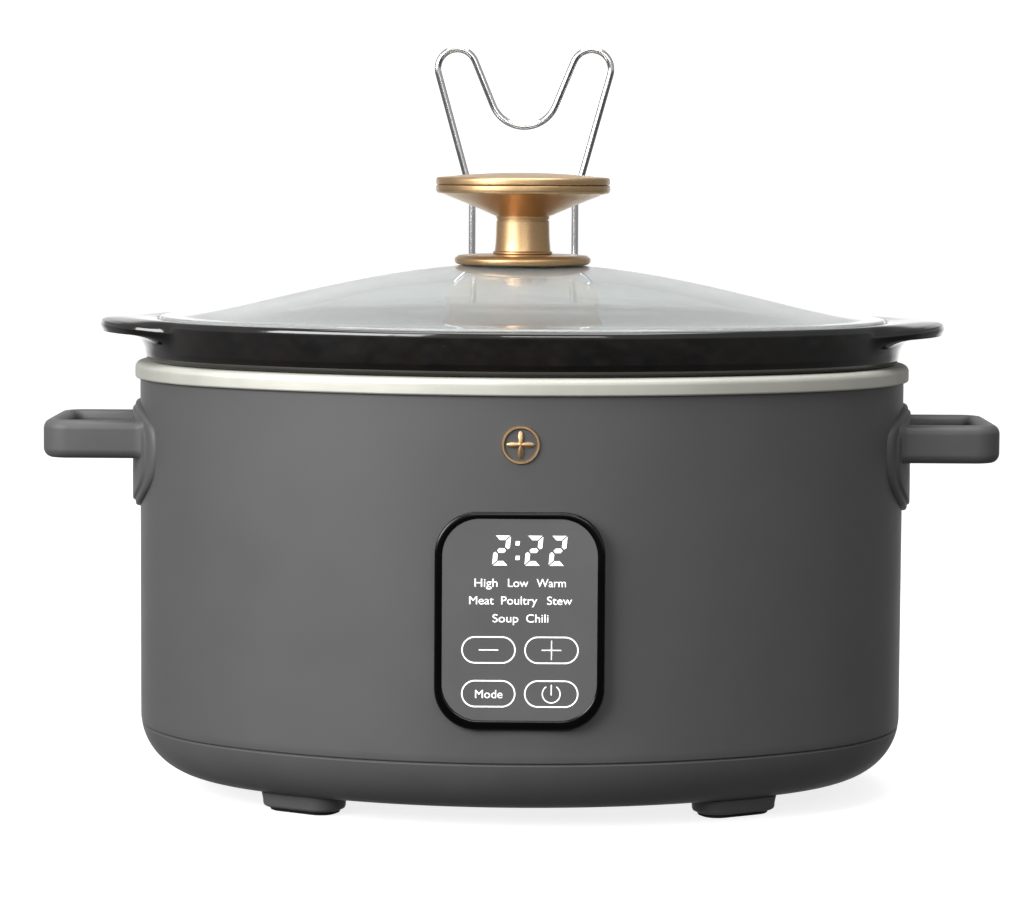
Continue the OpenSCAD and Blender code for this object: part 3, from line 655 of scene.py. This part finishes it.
class Crock(PieceOperator, bpy.types.Operator):
    """Builds the glazed stoneware crock with a lug at each end"""

    bl_idname = "slow_cooker.crock"
    bl_label = "Crock"

    def build(self, settings):
        low, high = box_mm("stoneware_crock")
        seat = box_mm("heating_well")[1][2] + 0.3
        lip = high[2] - 1.6
        ledge = box_mm("lid_glass")[0][2] - 0.3
        bottom, floor = low[2], low[2] + 8
        reach = settings.lug_reach / MM
        under = run([[100, bottom]], arc((50, bottom + 22), 22, 270, 186, 10),
                    [[20.5, 120], [20.5, seat - 6], [20.5, seat - 1]], [[19.6, seat]], [[8, seat]],
                    arc((6, seat + 4), 4, 270, 200, 5))
        band = run([[2, seat + rise] for rise in (4.5, 6.5, 8.5, 10, 11.2, 12, 12.6, 13.4, 14.6, 15.8)],
                   arc((3.9, lip - 1.9), 1.9, 180, 90, 5),
                   [[4.6, lip], [5.2, lip], [5.8, lip], [6.3, lip]])
        tip_z, tip_r = lip - 2.7, 3.0
        tip_x = tip_r - reach
        lug_band = run([[2, seat + 4.5], [1.5, seat + 6.8], [0.2, seat + 9], [-2, lip - 7.2],
                        [-5, lip - 6.2], [-9, lip - 5.8], [tip_x, tip_z - tip_r]],
                       arc((tip_x + 2, tip_z), tip_r, 250, 120, 8),
                       [[tip_x + 3, tip_z + tip_r], [-8, lip + 0.6], [-1, lip + 0.5],
                        [4.5, lip + 0.15], [6.3, lip]])
        lug_band[:, 1] = np.minimum(lug_band[:, 1], high[2])
        band, lug_band = even_out(band, 26), even_out(lug_band, 26)
        inside = run(arc((6.6, lip - 1.2), 1.2, 80, 0, 4),
                     [[7.5, ledge + 0.9], [7.7, ledge + 0.2], [8.3, ledge], [13, ledge],
                      [17.4, ledge]], arc((18, ledge - 9), 9, 86, 20, 7),
                     [[29, 140], [31, 90]], arc((56, floor + 24), 24, 192, 270, 10), [[100, floor]])
        plain = np.vstack([under, band, inside])
        lugged = np.vstack([under, lug_band, inside])
        angles = oval_angles(360)
        along = np.abs(oval_points(2.0, angles)[:, 1])
        lug_r = 65.0
        lug_x = high[0] - lug_r
        rim_x = np.abs(oval_points(2.0, angles)[:, 0])
        out = lug_x + np.sqrt(np.maximum(lug_r ** 2 - along ** 2, 0)) - rim_x
        soft = 0.5 * (out + np.sqrt(out ** 2 + 9))
        fade = np.clip((66 - along) / 24, 0, 1)
        share = soft * fade * fade * (3 - 2 * fade)
        share = (share / share.max())[:, None, None]
        grid = oval_sweep(plain, angles) * (1 - share) + oval_sweep(lugged, angles) * share
        crock = skin("StonewareCrock", grid, cap_columns=True)
        place(crock, "crock", "black_glaze", finish("glaze", black_glaze), "stoneware_crock")


def even_out(points, count):
    """The same outline with its points at even distances along it."""
    length = distances(points)[:-1]
    wanted = np.linspace(0, length[-1], count)
    return np.column_stack([np.interp(wanted, length, points[:, k]) for k in (0, 1)])


class GlassLid(PieceOperator, bpy.types.Operator):
    """Builds the pressed glass lid: a flat flange and a dome"""

    bl_idname = "slow_cooker.glass_lid"
    bl_label = "Glass lid"

    def build(self, settings):
        low, high = box_mm("lid_glass")
        flange_in, flange_w, flange_t, glass_t = 8.3, 8.7, 4.2, 4.0
        foot, crown = low[2], high[2]
        rise = crown - foot - flange_t
        angles = oval_angles()
        edge = oval_points(flange_in + flange_w, angles)

        def ring(share, height):
            return np.column_stack([share * edge, np.full(len(edge), height)])

        def flange(inset, height):
            return np.column_stack([oval_points(inset, angles), np.full(len(edge), height)])

        def dome(share):
            return foot + flange_t + rise * (1 - share ** 2) ** 1.5

        shares = np.concatenate([np.linspace(0.02, 0.9, 26), [0.93, 0.955, 0.975, 0.99, 1.0]])
        top = [ring(s, dome(s)) for s in shares]
        under = [ring(s, max(dome(s) - glass_t, foot)) for s in np.linspace(0.02, 0.97, 28)]
        corner = [flange(flange_in + flange_t / 2 * (1 - math.sin(a)),
                         foot + flange_t / 2 * (1 - math.cos(a)))
                  for a in np.linspace(0.12, math.pi - 0.12, 11)]
        grid = np.stack(under + corner + top[::-1], axis=1)
        lid = skin("LidGlass", grid, cap_columns=True)
        place(lid, "lid", "clear_glass", finish("glass", tempered_glass), "lid_glass")


class Knob(PieceOperator, bpy.types.Operator):
    """Builds the turned knob: foot, neck, cone and cap"""

    bl_idname = "slow_cooker.knob"
    bl_label = "Knob"

    def build(self, settings):
        metal = finish("champagne", champagne_metal, tuple(settings.champagne))
        base_low, base_high = box_mm("knob_base")
        neck_low, neck_high = box_mm("knob_neck")
        cone_low, cone_high = box_mm("knob_cone")
        cap_low, cap_high = box_mm("knob_cap")
        foot_r, knob_r = base_high[0], cap_high[0]
        foot = run([[0.1, base_low[2] + 1]], [[16, base_low[2] + 0.9]], [[26, base_low[2] + 0.2]],
                   arc((foot_r - 2.1, base_low[2] + 2.1), 2.1, 270, 380, 9),
                   [[foot_r - 1.8, base_high[2] - 0.55], [foot_r - 5, base_high[2] - 0.2],
                    [15, base_high[2]], [0.1, base_high[2]]])
        neck = run([[0.1, neck_low[2]], [13.2, neck_low[2]]],
                   arc((13, neck_low[2] + 0.6), 0.6, 270, 410, 6),
                   [[12.75, neck_low[2] + 1.5], [12.5, neck_low[2] + 4], [12.2, neck_low[2] + 8]],
                   [[12.05, neck_high[2] - 0.9], [11.7, neck_high[2] - 0.6]],
                   [[11.7, neck_high[2] - 0.05], [0.1, neck_high[2]]])
        top = cone_high[2]
        flare = np.linspace(0, 1, 14)
        cone = run([[0.1, cone_low[2]], [11.9, cone_low[2]], [12.1, cone_low[2] + 0.3]],
                   np.column_stack([12.1 + (knob_r - 14.6) * flare + 1.8 * (flare ** 2 - flare),
                                    cone_low[2] + 1.2 + (top - 5.2 - cone_low[2]) * flare]),
                   arc((knob_r - 1.9, top - 2.2), 1.9, 300, 360, 6),
                   arc((knob_r - 0.8, top - 0.9), 0.8, 0, 80, 4), [[0.1, top]])
        cap = run([[0.1, cap_low[2] + 0.05], [knob_r - 0.9, cap_low[2] + 0.05]],
                  arc((knob_r - 0.6, cap_low[2] + 0.6), 0.6, 280, 360, 4),
                  arc((knob_r - 1.5, cap_low[2] + 1.9), 1.5, 0, 78, 7),
                  np.column_stack([(knob_r - 3) * (1 - flare[1:-1]),
                                   cap_high[2] - 2.05 * (1 - flare[1:-1]) ** 2]),
                  [[0.1, cap_high[2]]])
        for name, node, profile in (("KnobFoot", "knob_base", foot), ("KnobNeck", "knob_neck", neck),
                                    ("KnobCone", "knob_cone", cone), ("KnobCap", "knob_cap", cap)):
            piece = skin(name, lathe(profile), cap_columns=True)
            place(piece, "lid", "champagne_metal", metal, node)


# ---- the wire lid holder ----

class LidHolder(PieceOperator, bpy.types.Operator):
    """Builds the bent wire that holds the lid by its knob"""

    bl_idname = "slow_cooker.lid_holder"
    bl_label = "Lid holder"

    def build(self, settings):
        low, high = box_mm("lid_holder_wire")
        radius = settings.wire_radius / MM
        plane = (low[1] + high[1]) / 2
        leg_x, elbow_r, splay_z = 25.3, 14.0, high[2] - 74.6
        loop_r, dip_r = 9.5, 16.6
        loop = np.array([33.0, high[2] - radius - loop_r])
        dip = np.array([0.0, loop[1] - 11.6])
        apart = math.dist(loop, dip)
        inner = math.atan2(loop[1] - dip[1], loop[0]) + math.asin((dip_r + loop_r) / apart)
        inner = math.degrees(inner) - 90
        reach = loop - [leg_x, splay_z]
        lean = math.degrees(math.atan2(reach[0], reach[1])
                            + math.asin(loop_r / np.linalg.norm(reach)))
        turn = elbow_r * math.tan(math.radians(lean / 2))
        half = run(
            arc(dip, dip_r, -90, inner, 14),
            arc(loop, loop_r, 180 + inner, -lean, 28),
            arc((leg_x + elbow_r, splay_z - turn), elbow_r, 180 - lean, 180, 8),
            np.column_stack([np.full(8, leg_x), np.linspace(splay_z - turn - 6, low[2] + radius, 8)]),
        )
        half = even_out(half, 170)
        whole = np.vstack([half[::-1] * [-1, 1], half[1:]])
        path = np.column_stack([whole[:, 0], np.full(len(whole), plane), whole[:, 1]])
        thin = np.ones(len(path))
        thin[[0, -1]] = 0.7
        wire = skin("LidHolderWire", tube(path, radius * thin), wrap_rows=False, wrap_columns=True,
                    cap_rows=True)
        place(wire, "lid_holder", "chrome_wire", finish("chrome", chromed_wire), "lid_holder_wire")


# ---- the side handles ----

def wall_x(across):
    """How far out the end of the wall is at a distance across the handle."""
    return END_C + np.sqrt(END_R ** 2 - across ** 2)


def plate_grid(centre_z, stand):
    """The handle's wall plate: rings from its middle out to an outline where three circles cross,
    eased at the corners by a power mean. Its face stands off the wall, steps down once near the
    edge and then rounds down to the wall."""
    turn = np.linspace(0, 2 * math.pi, 128, endpoint=False)
    sin = np.sin(turn)
    reach = [middle * sin + np.sqrt((middle * sin) ** 2 + radius ** 2 - middle ** 2)
             for middle, radius in ((4.0, 49.0), (-105.3, 130.0), (55.7, 80.0))]
    outline = np.sum([length ** -18.0 for length in reach], axis=0) ** (-1 / 18)
    across, up = outline * np.cos(turn), outline * sin
    share = np.array([0.04, 0.2, 0.4, 0.6, 0.75, 0.84, 0.865, 0.88, 0.89, 0.90, 0.93, 0.955, 0.975,
                      0.99, 0.998, 1.0, 1.0, 0.9, 0.4, 0.04])
    lift = stand * np.array([1, 1, 1, 1, 1, 1, 0.97, 0.88, 0.75, 0.66, 0.64, 0.62, 0.55,
                             0.42, 0.25, 0.05, -0.3, -0.9, -0.9, -0.9])
    y = across[:, None] * share
    return np.stack([wall_x(y) + lift[None, :], y, centre_z + up[:, None] * share], axis=-1)


def bar_grid(reach, half, centre_z, height):
    """The handle's bar: an upright rounded section carried out along one arm, round the end and
    back, a little thinner at the end, with a small fillet where it meets the plate."""
    corner, root_x = 8.0, wall_x(half)
    middle = half - 4.9
    end = reach - 4.1
    front = np.column_stack([np.linspace(root_x - 1, end - corner, 34), np.full(34, -middle)])
    bend = arc((end - corner, corner - middle), corner, 270, 360, 16)
    across = np.column_stack([np.full(9, end), np.linspace(corner - middle, 0, 9)])
    path = np.vstack([front, bend[1:], across[1:]])
    path = np.vstack([path, (path * [1, -1])[::-1][1:]])
    side = heading(path)[:, ::-1] * [1, -1]
    root = np.exp(-np.maximum(path[:, 0] - root_x - 3.2, 0) / 1.1)
    thick = 8.2 + 1.6 * np.clip((end - path[:, 0]) / 14, 0, 1) + 2.4 * root
    tall = height + 2.4 * root
    section = rounded_box(9.0, 17.0, 4.1, 7) / [4.5, 8.5]
    bulge = 0.06 * (1 - section[:, 1] ** 2)
    u = (section[:, 0] + bulge * np.sign(section[:, 0])) / 1.06
    u = u[None, :] * thick[:, None] / 2
    v = section[None, :, 1] * tall[:, None] / 2
    return np.stack([path[:, 0, None] + side[:, 0, None] * u, path[:, 1, None] + side[:, 1, None] * u,
                     centre_z + v], axis=-1)


class Handles(PieceOperator, bpy.types.Operator):
    """Builds the two side handles, each a looped bar on a plate"""

    bl_idname = "slow_cooker.handles"
    bl_label = "Side handles"

    def build(self, settings):
        for side, turn in (("right", 1), ("left", -1)):
            low, high = box_mm(f"handle_{side}")
            reach = max(abs(low[0]), abs(high[0]))
            plate = skin("plate", plate_grid(low[2] + 24.3, 3.5) * [turn, 1, 1], cap_columns=True)
            bar = skin("bar", bar_grid(reach, 39.0, high[2] - 16.2, 17.2) * [turn, 1, 1],
                       wrap_rows=False, wrap_columns=True, cap_rows=True)
            handle = join(f"Handle_{side}", [plate, bar])
            place(handle, "base", "grey_moulding", grey_moulding(settings), f"handle_{side}")


# ---- the control panel ----

PANEL_LOW, PANEL_HIGH = box_mm("bezel")
PANEL_Z = (PANEL_LOW[2] + PANEL_HIGH[2]) / 2
LENS_FACE = box_mm("touch_lens")[0][1]
PRINT_T = 0.12
PRINT_FRONT, PRINT_BACK = LENS_FACE - PRINT_T, LENS_FACE + PRINT_T


def upright(outline, depth):
    """A flat outline stood up across Y: its second number becomes the height."""
    return np.column_stack([outline[:, 0], np.full(len(outline), depth), outline[:, 1]])


def plate_of(name, outline):
    """A thin plate of an outline, placed from the panel's own middle, through the lens's face."""
    lifted = outline + [0, PANEL_Z]
    grid = np.stack([upright(lifted, PRINT_FRONT), upright(lifted, PRINT_BACK)], axis=1)
    return skin(name, grid, cap_columns=True)


def ring_of(name, outer, inner):
    """A thin closed band between two outlines with as many points each."""
    outer, inner = outer + [0, PANEL_Z], inner + [0, PANEL_Z]
    grid = np.stack([upright(outer, PRINT_FRONT), upright(outer, PRINT_BACK),
                     upright(inner, PRINT_BACK), upright(inner, PRINT_FRONT)], axis=1)
    return skin(name, grid, wrap_columns=True)


class Bezel(PieceOperator, bpy.types.Operator):
    """Builds the black frame round the touch lens"""

    bl_idname = "slow_cooker.bezel"
    bl_label = "Bezel"

    def build(self, settings):
        width, height = PANEL_HIGH[0] - PANEL_LOW[0], PANEL_HIGH[2] - PANEL_LOW[2]
        outer = rounded_box(width, height, 18, 14)
        inner = rounded_box(65.8, 85.9, 15.6, 14) + [0, 0.7]
        front = PANEL_LOW[1]
        layers = [(0.02, front + 9), (0, front + 1.0), (0.05, front + 0.45), (0.16, front + 0.12),
                  (0.35, front), (0.8, front), (0.94, front + 0.1), (1.0, front + 0.35),
                  (1.0, front + 4), (0.5, front + 9)]
        grid = np.stack([upright(outer * (1 - f) + inner * f + [0, PANEL_Z], depth)
                         for f, depth in layers], axis=1)
        bezel = skin("Bezel", grid, wrap_columns=True)
        gloss = finish("gloss", moulded_plastic, "Black gloss acrylic", srgb("#060606"), 0.12, 3.0,
                       0.01)
        place(bezel, "base", "black_bezel", gloss, "bezel")


DIGIT_W, DIGIT_H, STROKE, SLANT = 6.8, 12.7, 1.9, 0.09
SEGMENTS = {
    "0": "abcdef", "1": "bc", "2": "abged", "3": "abgcd", "4": "fgbc", "5": "afgcd", "6": "afgedc",
    "7": "abc", "8": "abcdefg", "9": "abcdfg",
}


def segment_outline(key):
    """One bar of a seven-part digit, as a hexagon or trapezium, in a box DIGIT_W by DIGIT_H."""
    w, h, t, gap = DIGIT_W / 2, DIGIT_H / 2, STROKE, 0.4
    level = [[-w + gap, h], [w - gap, h], [w - t - gap, h - t], [-w + t + gap, h - t]]
    upper = [[w, h - gap], [w, 0.75 + gap], [w - 0.9, gap * 1.5], [w - t, 1.1 + gap],
             [w - t, h - t - gap]]
    middle = [[-w + 1.1 + gap, 0], [-w + t + gap, t / 2], [w - t - gap, t / 2], [w - 1.1 - gap, 0],
              [w - t - gap, -t / 2], [-w + t + gap, -t / 2]]
    level, upper, middle = (np.array(shape) for shape in (level, upper, middle))
    return {"a": level, "d": level * [1, -1], "b": upper, "f": upper * [-1, 1],
            "c": upper * [1, -1], "e": upper * [-1, -1], "g": middle}[key]


def slanted(outline, x, z):
    """An outline leaned to the right and moved to its place."""
    return np.column_stack([outline[:, 0] + SLANT * outline[:, 1] + x, outline[:, 1] + z])


def word_piece(word, centre_x, centre_z, width, cap_height):
    """A word from the built-in font, thickened, turned to a mesh and fitted to a width. The font's
    capitals are 0.7 of its unit high."""
    depth, cap = 0.05, 0.7
    curve = bpy.data.curves.new(word, "FONT")
    curve.body = word
    curve.extrude = depth
    holder = bpy.data.objects.new(word, curve)
    bpy.context.scene.collection.objects.link(holder)
    bpy.context.view_layer.update()
    evaluated = holder.evaluated_get(bpy.context.evaluated_depsgraph_get())
    mesh = bpy.data.meshes.new_from_object(evaluated)
    bpy.data.objects.remove(holder)
    points = np.empty(len(mesh.vertices) * 3)
    mesh.vertices.foreach_get("co", points)
    points = points.reshape(-1, 3)
    low, high = points.min(0), points.max(0)
    x = centre_x + ((points[:, 0] - low[0]) / (high[0] - low[0]) - 0.5) * width
    z = centre_z + PANEL_Z + (points[:, 1] / cap - 0.5) * cap_height
    y = PRINT_FRONT + (1 - points[:, 2] / depth) * PRINT_T
    mesh.vertices.foreach_set("co", (np.column_stack([x, y, z]) * MM).ravel())
    mesh.update()
    return link(word, mesh)


DIGIT_Z = 30.3
# Each word, its middle across and up from the panel's middle, and its width.
WORDS = [("High", -14.3, 16.6, 9.7), ("Low", -0.7, 16.6, 8.6), ("Warm", 13.3, 16.6, 12.4),
         ("Meat", -16.2, 9.1, 10.4), ("Poultry", -0.2, 9.1, 15.3), ("Stew", 16.9, 9.1, 10.6),
         ("Soup", -6.0, 1.5, 10.9), ("Chili", 7.5, 1.5, 9.4), ("Mode", -12.9, -30.9, 11.6)]
CAP_HEIGHT = 3.5
KEY_W, KEY_H, KEY_LINE = 23.0, 11.6, 0.55
KEY_X, KEY_Z = (-13.1, 13.6), (-12.1, -30.8)


class LitDisplay(PieceOperator, bpy.types.Operator):
    """Builds the lit digits, words and touch keys on the lens"""

    bl_idname = "slow_cooker.lit_display"
    bl_label = "Lit display"

    def build(self, settings):
        glow = finish("glow", lit_print, settings.print_glow)
        digits = []
        place_x = iter((-7.8, 5.9, 16.1))
        for mark in settings.clock:
            if mark == ":":
                dot = rounded_box(1.8, 1.8, 0.25, 2)
                digits += [plate_of("dot", slanted(dot, -1.0, DIGIT_Z + z)) for z in (3.1, -3.1)]
                continue
            x = next(place_x)
            digits += [plate_of("bar", slanted(segment_outline(key), x, DIGIT_Z))
                       for key in SEGMENTS[mark]]
        place(join("ClockDigits", digits), "base", "panel_face", glow)
        words = [word_piece(word, x, z, width, CAP_HEIGHT) for word, x, z, width in WORDS]
        place(join("PanelWords", words), "base", "panel_face", glow)
        keys = []
        for x in KEY_X:
            for z in KEY_Z:
                outer = rounded_box(KEY_W, KEY_H, KEY_H / 2 - 0.01, 14) + [x, z]
                inner = rounded_box(KEY_W - 2 * KEY_LINE, KEY_H - 2 * KEY_LINE,
                                    KEY_H / 2 - KEY_LINE - 0.01, 14) + [x, z]
                keys.append(ring_of("key", outer, inner))
        bar = rounded_box(8.4, 0.42, 0.2, 2)
        upper = rounded_box(0.45, 4.6, 0.2, 2) + [0, 1.7]
        sweep = np.vstack([arc((0, 0), 4.0, 125, 415, 40), arc((0, 0), 3.55, 415, 125, 40)])
        # A minus, a plus and the power sign. The fourth key holds a word.
        for mark, column, row in ((bar, 0, 0), (bar, 1, 0), (bar[:, ::-1], 1, 0), (upper, 1, 1),
                                  (sweep, 1, 1)):
            keys.append(plate_of("mark", mark + [KEY_X[column], KEY_Z[row]]))
        place(join("TouchKeys", keys), "base", "panel_face", glow)


class Emblem(PieceOperator, bpy.types.Operator):
    """Builds the metal emblem: a ring round a four-pointed star"""

    bl_idname = "slow_cooker.emblem"
    bl_label = "Emblem"

    def build(self, settings):
        low, high = box_mm("badge")
        middle, radius = (low[2] + high[2]) / 2, (high[0] - low[0]) / 2
        turn = np.linspace(0, 2 * math.pi, 96, endpoint=False)

        def on_wall(outline, lift):
            """Points on the curved front of the wall, stood off it."""
            y = SIDE_C - np.sqrt((SIDE_R + lift) ** 2 - outline[:, 0] ** 2)
            return np.column_stack([outline[:, 0], y, middle + outline[:, 1]])

        def circle(r):
            return np.column_stack([r * np.cos(turn), r * np.sin(turn)])

        section = [(radius, -0.3), (radius, 0.7), (radius - 0.25, 1.05), (radius - 1.05, 1.05),
                   (radius - 1.3, 0.7), (radius - 1.3, -0.3)]
        ring = skin("ring", np.stack([on_wall(circle(r), d) for r, d in section], axis=1),
                    wrap_columns=True)
        points = radius * (0.2 + 0.52 * np.abs(np.cos(2 * turn)) ** 3.0)
        star = np.column_stack([points * np.cos(turn), points * np.sin(turn)])
        layers = [(1.0, -0.3), (1.0, 0.5), (0.9, 0.8), (0.45, 1.1), (0.05, 1.3)]
        middle_star = skin("star", np.stack([on_wall(star * f, d) for f, d in layers], axis=1),
                           cap_columns=True)
        metal = finish("champagne", champagne_metal, tuple(settings.champagne))
        place(join("FrontEmblem", [ring, middle_star]), "base", "champagne_metal", metal, "badge")


# ---- finishes of the CAD's own nodes ----

class Fittings(PieceOperator, bpy.types.Operator):
    """Gives the screws, brackets, boards and wires their finishes"""

    bl_idname = "slow_cooker.fittings"
    bl_label = "Fittings"

    def build(self, settings):
        plastics = {
            "black_plastic": ("Black nylon", "#1c1c1c", 0.45),
            "white_plastic": ("White nylon", "#dddbd2", 0.5),
            "panel_face": ("Printed polycarbonate film", "#606060", 0.42, 1.0, 0.006),
            "relay_case": ("Blue relay housing", "#23439a", 0.4),
            "winding_tape": ("Yellow polyester tape", "#cf9a26", 0.35),
            "silicone": ("Clear silicone rubber", "#d2d2cf", 0.6),
        }
        by_slot = {slot: finish(slot, moulded_plastic, name, srgb(code), *rest)
                   for slot, (name, code, *rest) in plastics.items()}
        by_slot.update({
            "plated_steel": finish("zinc", plated_steel),
            "grey_moulding": grey_moulding(settings),
            "circuit_board": finish("board", solder_mask),
            "mica_band": finish("band", woven_sleeve, "Mica heater wrap", srgb("#b59a63")),
            "lead_sleeve": finish("sleeve", woven_sleeve, "Glass fibre sleeve", srgb("#d8d2c4")),
        })
        slots = {entry["node"]: entry["material_slot"] for entry in frame["record"]["subparts"]}
        for name, node in frame["nodes"].items():
            if node.hide_render:
                continue
            node.data.materials.clear()
            node.data.materials.append(by_slot[slots[name]])


# ---- stage ----

# How far down the camera looks, its roll and its turn to the left, in degrees.
CAMERA_DOWN, CAMERA_ROLL, CAMERA_YAW = 4.716, -0.35, 0.31
CAMERA_AT = (0.004, -1.690, 0.2905)
CAMERA_LENS_MM, SENSOR_MM = 130.1, 36
# Each lamp's name, place, width, height and power in watts.
SOFTBOXES = (
    ("Key", (-1.56, -1.36, 1.0), 1.3, 1.2, 46),
    ("Strip", (-0.75, -1.45, 0.85), 0.22, 1.0, 5),
    ("Top", (0.0, -0.1, 1.9), 1.6, 1.6, 30),
    ("Fill", (0.30, -2.20, 0.80), 1.0, 0.25, 6),
)
# The room's light, above and below, as places and levels. Place 0 is straight in front of the
# cooker and place 1 straight behind it.
BELOW = ((0.0, 0.03), (0.3, 0.10), (0.9, 0.25), (0.985, 1.35))
ABOVE = ((0.0, 1.0), (0.2, 0.90), (0.9, 0.48), (0.985, 1.4))


class Stage(PieceOperator, bpy.types.Operator):
    """Sets the camera, a pale floor and soft studio light"""

    bl_idname = "slow_cooker.stage"
    bl_label = "Stage"

    def build(self, settings):
        scene = bpy.context.scene
        scene.view_settings.view_transform = "Standard"
        lens = bpy.data.cameras.new("Camera")
        lens.lens, lens.sensor_width = CAMERA_LENS_MM, SENSOR_MM
        camera = bpy.data.objects.new("Camera", lens)
        camera.location = CAMERA_AT
        camera.rotation_euler = np.radians([90 - CAMERA_DOWN, CAMERA_ROLL, CAMERA_YAW])
        scene.collection.objects.link(camera)
        scene.camera = camera
        self.floor()
        self.sky(scene)
        for softbox in SOFTBOXES:
            self.softbox(*softbox)

    def floor(self):
        """A wide floor of opal acrylic lit from below, as on a product light table. It casts no
        light on the cooker, whose underside stays dark."""
        material, tree = new_material("Opal acrylic")
        pale = mix_by_noise(tree, 400, srgb("#b4b4b4"), srgb("#b8b8b8"))
        surface(tree, {"Base Color": pale, "Roughness": 0.9, "Emission Color": srgb("#ffffff"),
                       "Emission Strength": 0.8})
        size = 30.0
        mesh = bpy.data.meshes.new("Floor")
        mesh.from_pydata([(-size, -size, 0), (size, -size, 0), (size, size, 0), (-size, size, 0)],
                         [], [(0, 1, 2, 3)])
        floor = bpy.data.objects.new("Floor", mesh)
        mesh.materials.append(material)
        floor.visible_diffuse = floor.visible_glossy = False
        bpy.context.scene.collection.objects.link(floor)

    def sky(self, scene):
        """Soft light from all round: a white backdrop behind the cooker, a dimmer room in front,
        and less light still from below the front."""
        world = bpy.data.worlds.new("Studio")
        world.use_nodes = True
        tree = world.node_tree
        tree.nodes.clear()
        direction = add(tree, "ShaderNodeTexCoord").outputs["Generated"]
        parts = add(tree, "ShaderNodeSeparateXYZ", {"Vector": direction}).outputs
        backward, rise, side, overhead = (
            add(tree, "ShaderNodeMapRange", {"Value": parts[axis], "From Min": start,
                                             "From Max": stop, "To Min": low,
                                             "To Max": high}).outputs["Result"]
            for axis, start, stop, low, high in (
                ("Y", -1.0, 1.0, 0.0, 1.0), ("Z", -0.06, 0.08, 0.0, 1.0),
                ("X", -0.9, 0.7, 1.05, 0.82), ("Z", 0.043, 0.10, 1.0, 0.58)))
        greys = []
        for stops in (BELOW, ABOVE):
            ramp = add(tree, "ShaderNodeValToRGB", {"Fac": backward})
            elements = ramp.color_ramp.elements
            for _ in stops[2:]:
                elements.new(0.5)
            for element, (position, grey) in zip(elements, stops):
                element.position, element.color = position, (grey, grey, grey, 1)
            greys.append(ramp.outputs["Color"])
        light = add(tree, "ShaderNodeMix", {0: rise, 6: greys[0], 7: greys[1]},
                    data_type="RGBA").outputs[2]
        level = add(tree, "ShaderNodeMath", {0: side, 1: overhead}, operation="MULTIPLY")
        back = add(tree, "ShaderNodeBackground", {"Color": light, "Strength": level.outputs[0]})
        add(tree, "ShaderNodeOutputWorld", {"Surface": back.outputs["Background"]})
        scene.world = world

    def softbox(self, name, place_at, width, height, power):
        """A rectangular lamp that faces the cooker."""
        lamp = bpy.data.lights.new(name, "AREA")
        lamp.shape = "RECTANGLE"
        lamp.size, lamp.size_y, lamp.energy = width, height, power
        holder = bpy.data.objects.new(name, lamp)
        holder.location = place_at
        aim = Vector((0, 0, 0.15)) - holder.location
        holder.rotation_euler = aim.to_track_quat("-Z", "Y").to_euler()
        bpy.context.scene.collection.objects.link(holder)


PIECES = (Stage, OuterWall, BasePan, HeatingWell, Feet, Crock, GlassLid, Knob, LidHolder, Handles,
          Bezel, LitDisplay, Emblem, Fittings)


class SlowCookerPanel(bpy.types.Panel):
    """Lists every piece of the slow cooker"""

    bl_idname = "VIEW3D_PT_slow_cooker"
    bl_label = "Slow cooker"
    bl_space_type = "VIEW_3D"
    bl_region_type = "UI"
    bl_category = "Slow cooker"

    def draw(self, context):
        for key in SlowCookerSettings.__annotations__:
            self.layout.prop(context.scene.slow_cooker, key)
        for piece in PIECES:
            self.layout.operator(piece.bl_idname)


def register():
    for kind in (SlowCookerSettings, *PIECES, SlowCookerPanel):
        bpy.utils.register_class(kind)
    bpy.types.Scene.slow_cooker = PointerProperty(type=SlowCookerSettings)


def unregister():
    del bpy.types.Scene.slow_cooker
    for kind in reversed((SlowCookerSettings, *PIECES, SlowCookerPanel)):
        bpy.utils.unregister_class(kind)


def main():
    register()
    for piece in PIECES:
        group, name = piece.bl_idname.split(".")
        getattr(getattr(bpy.ops, group), name)()


if __name__ == "__main__":
    main()
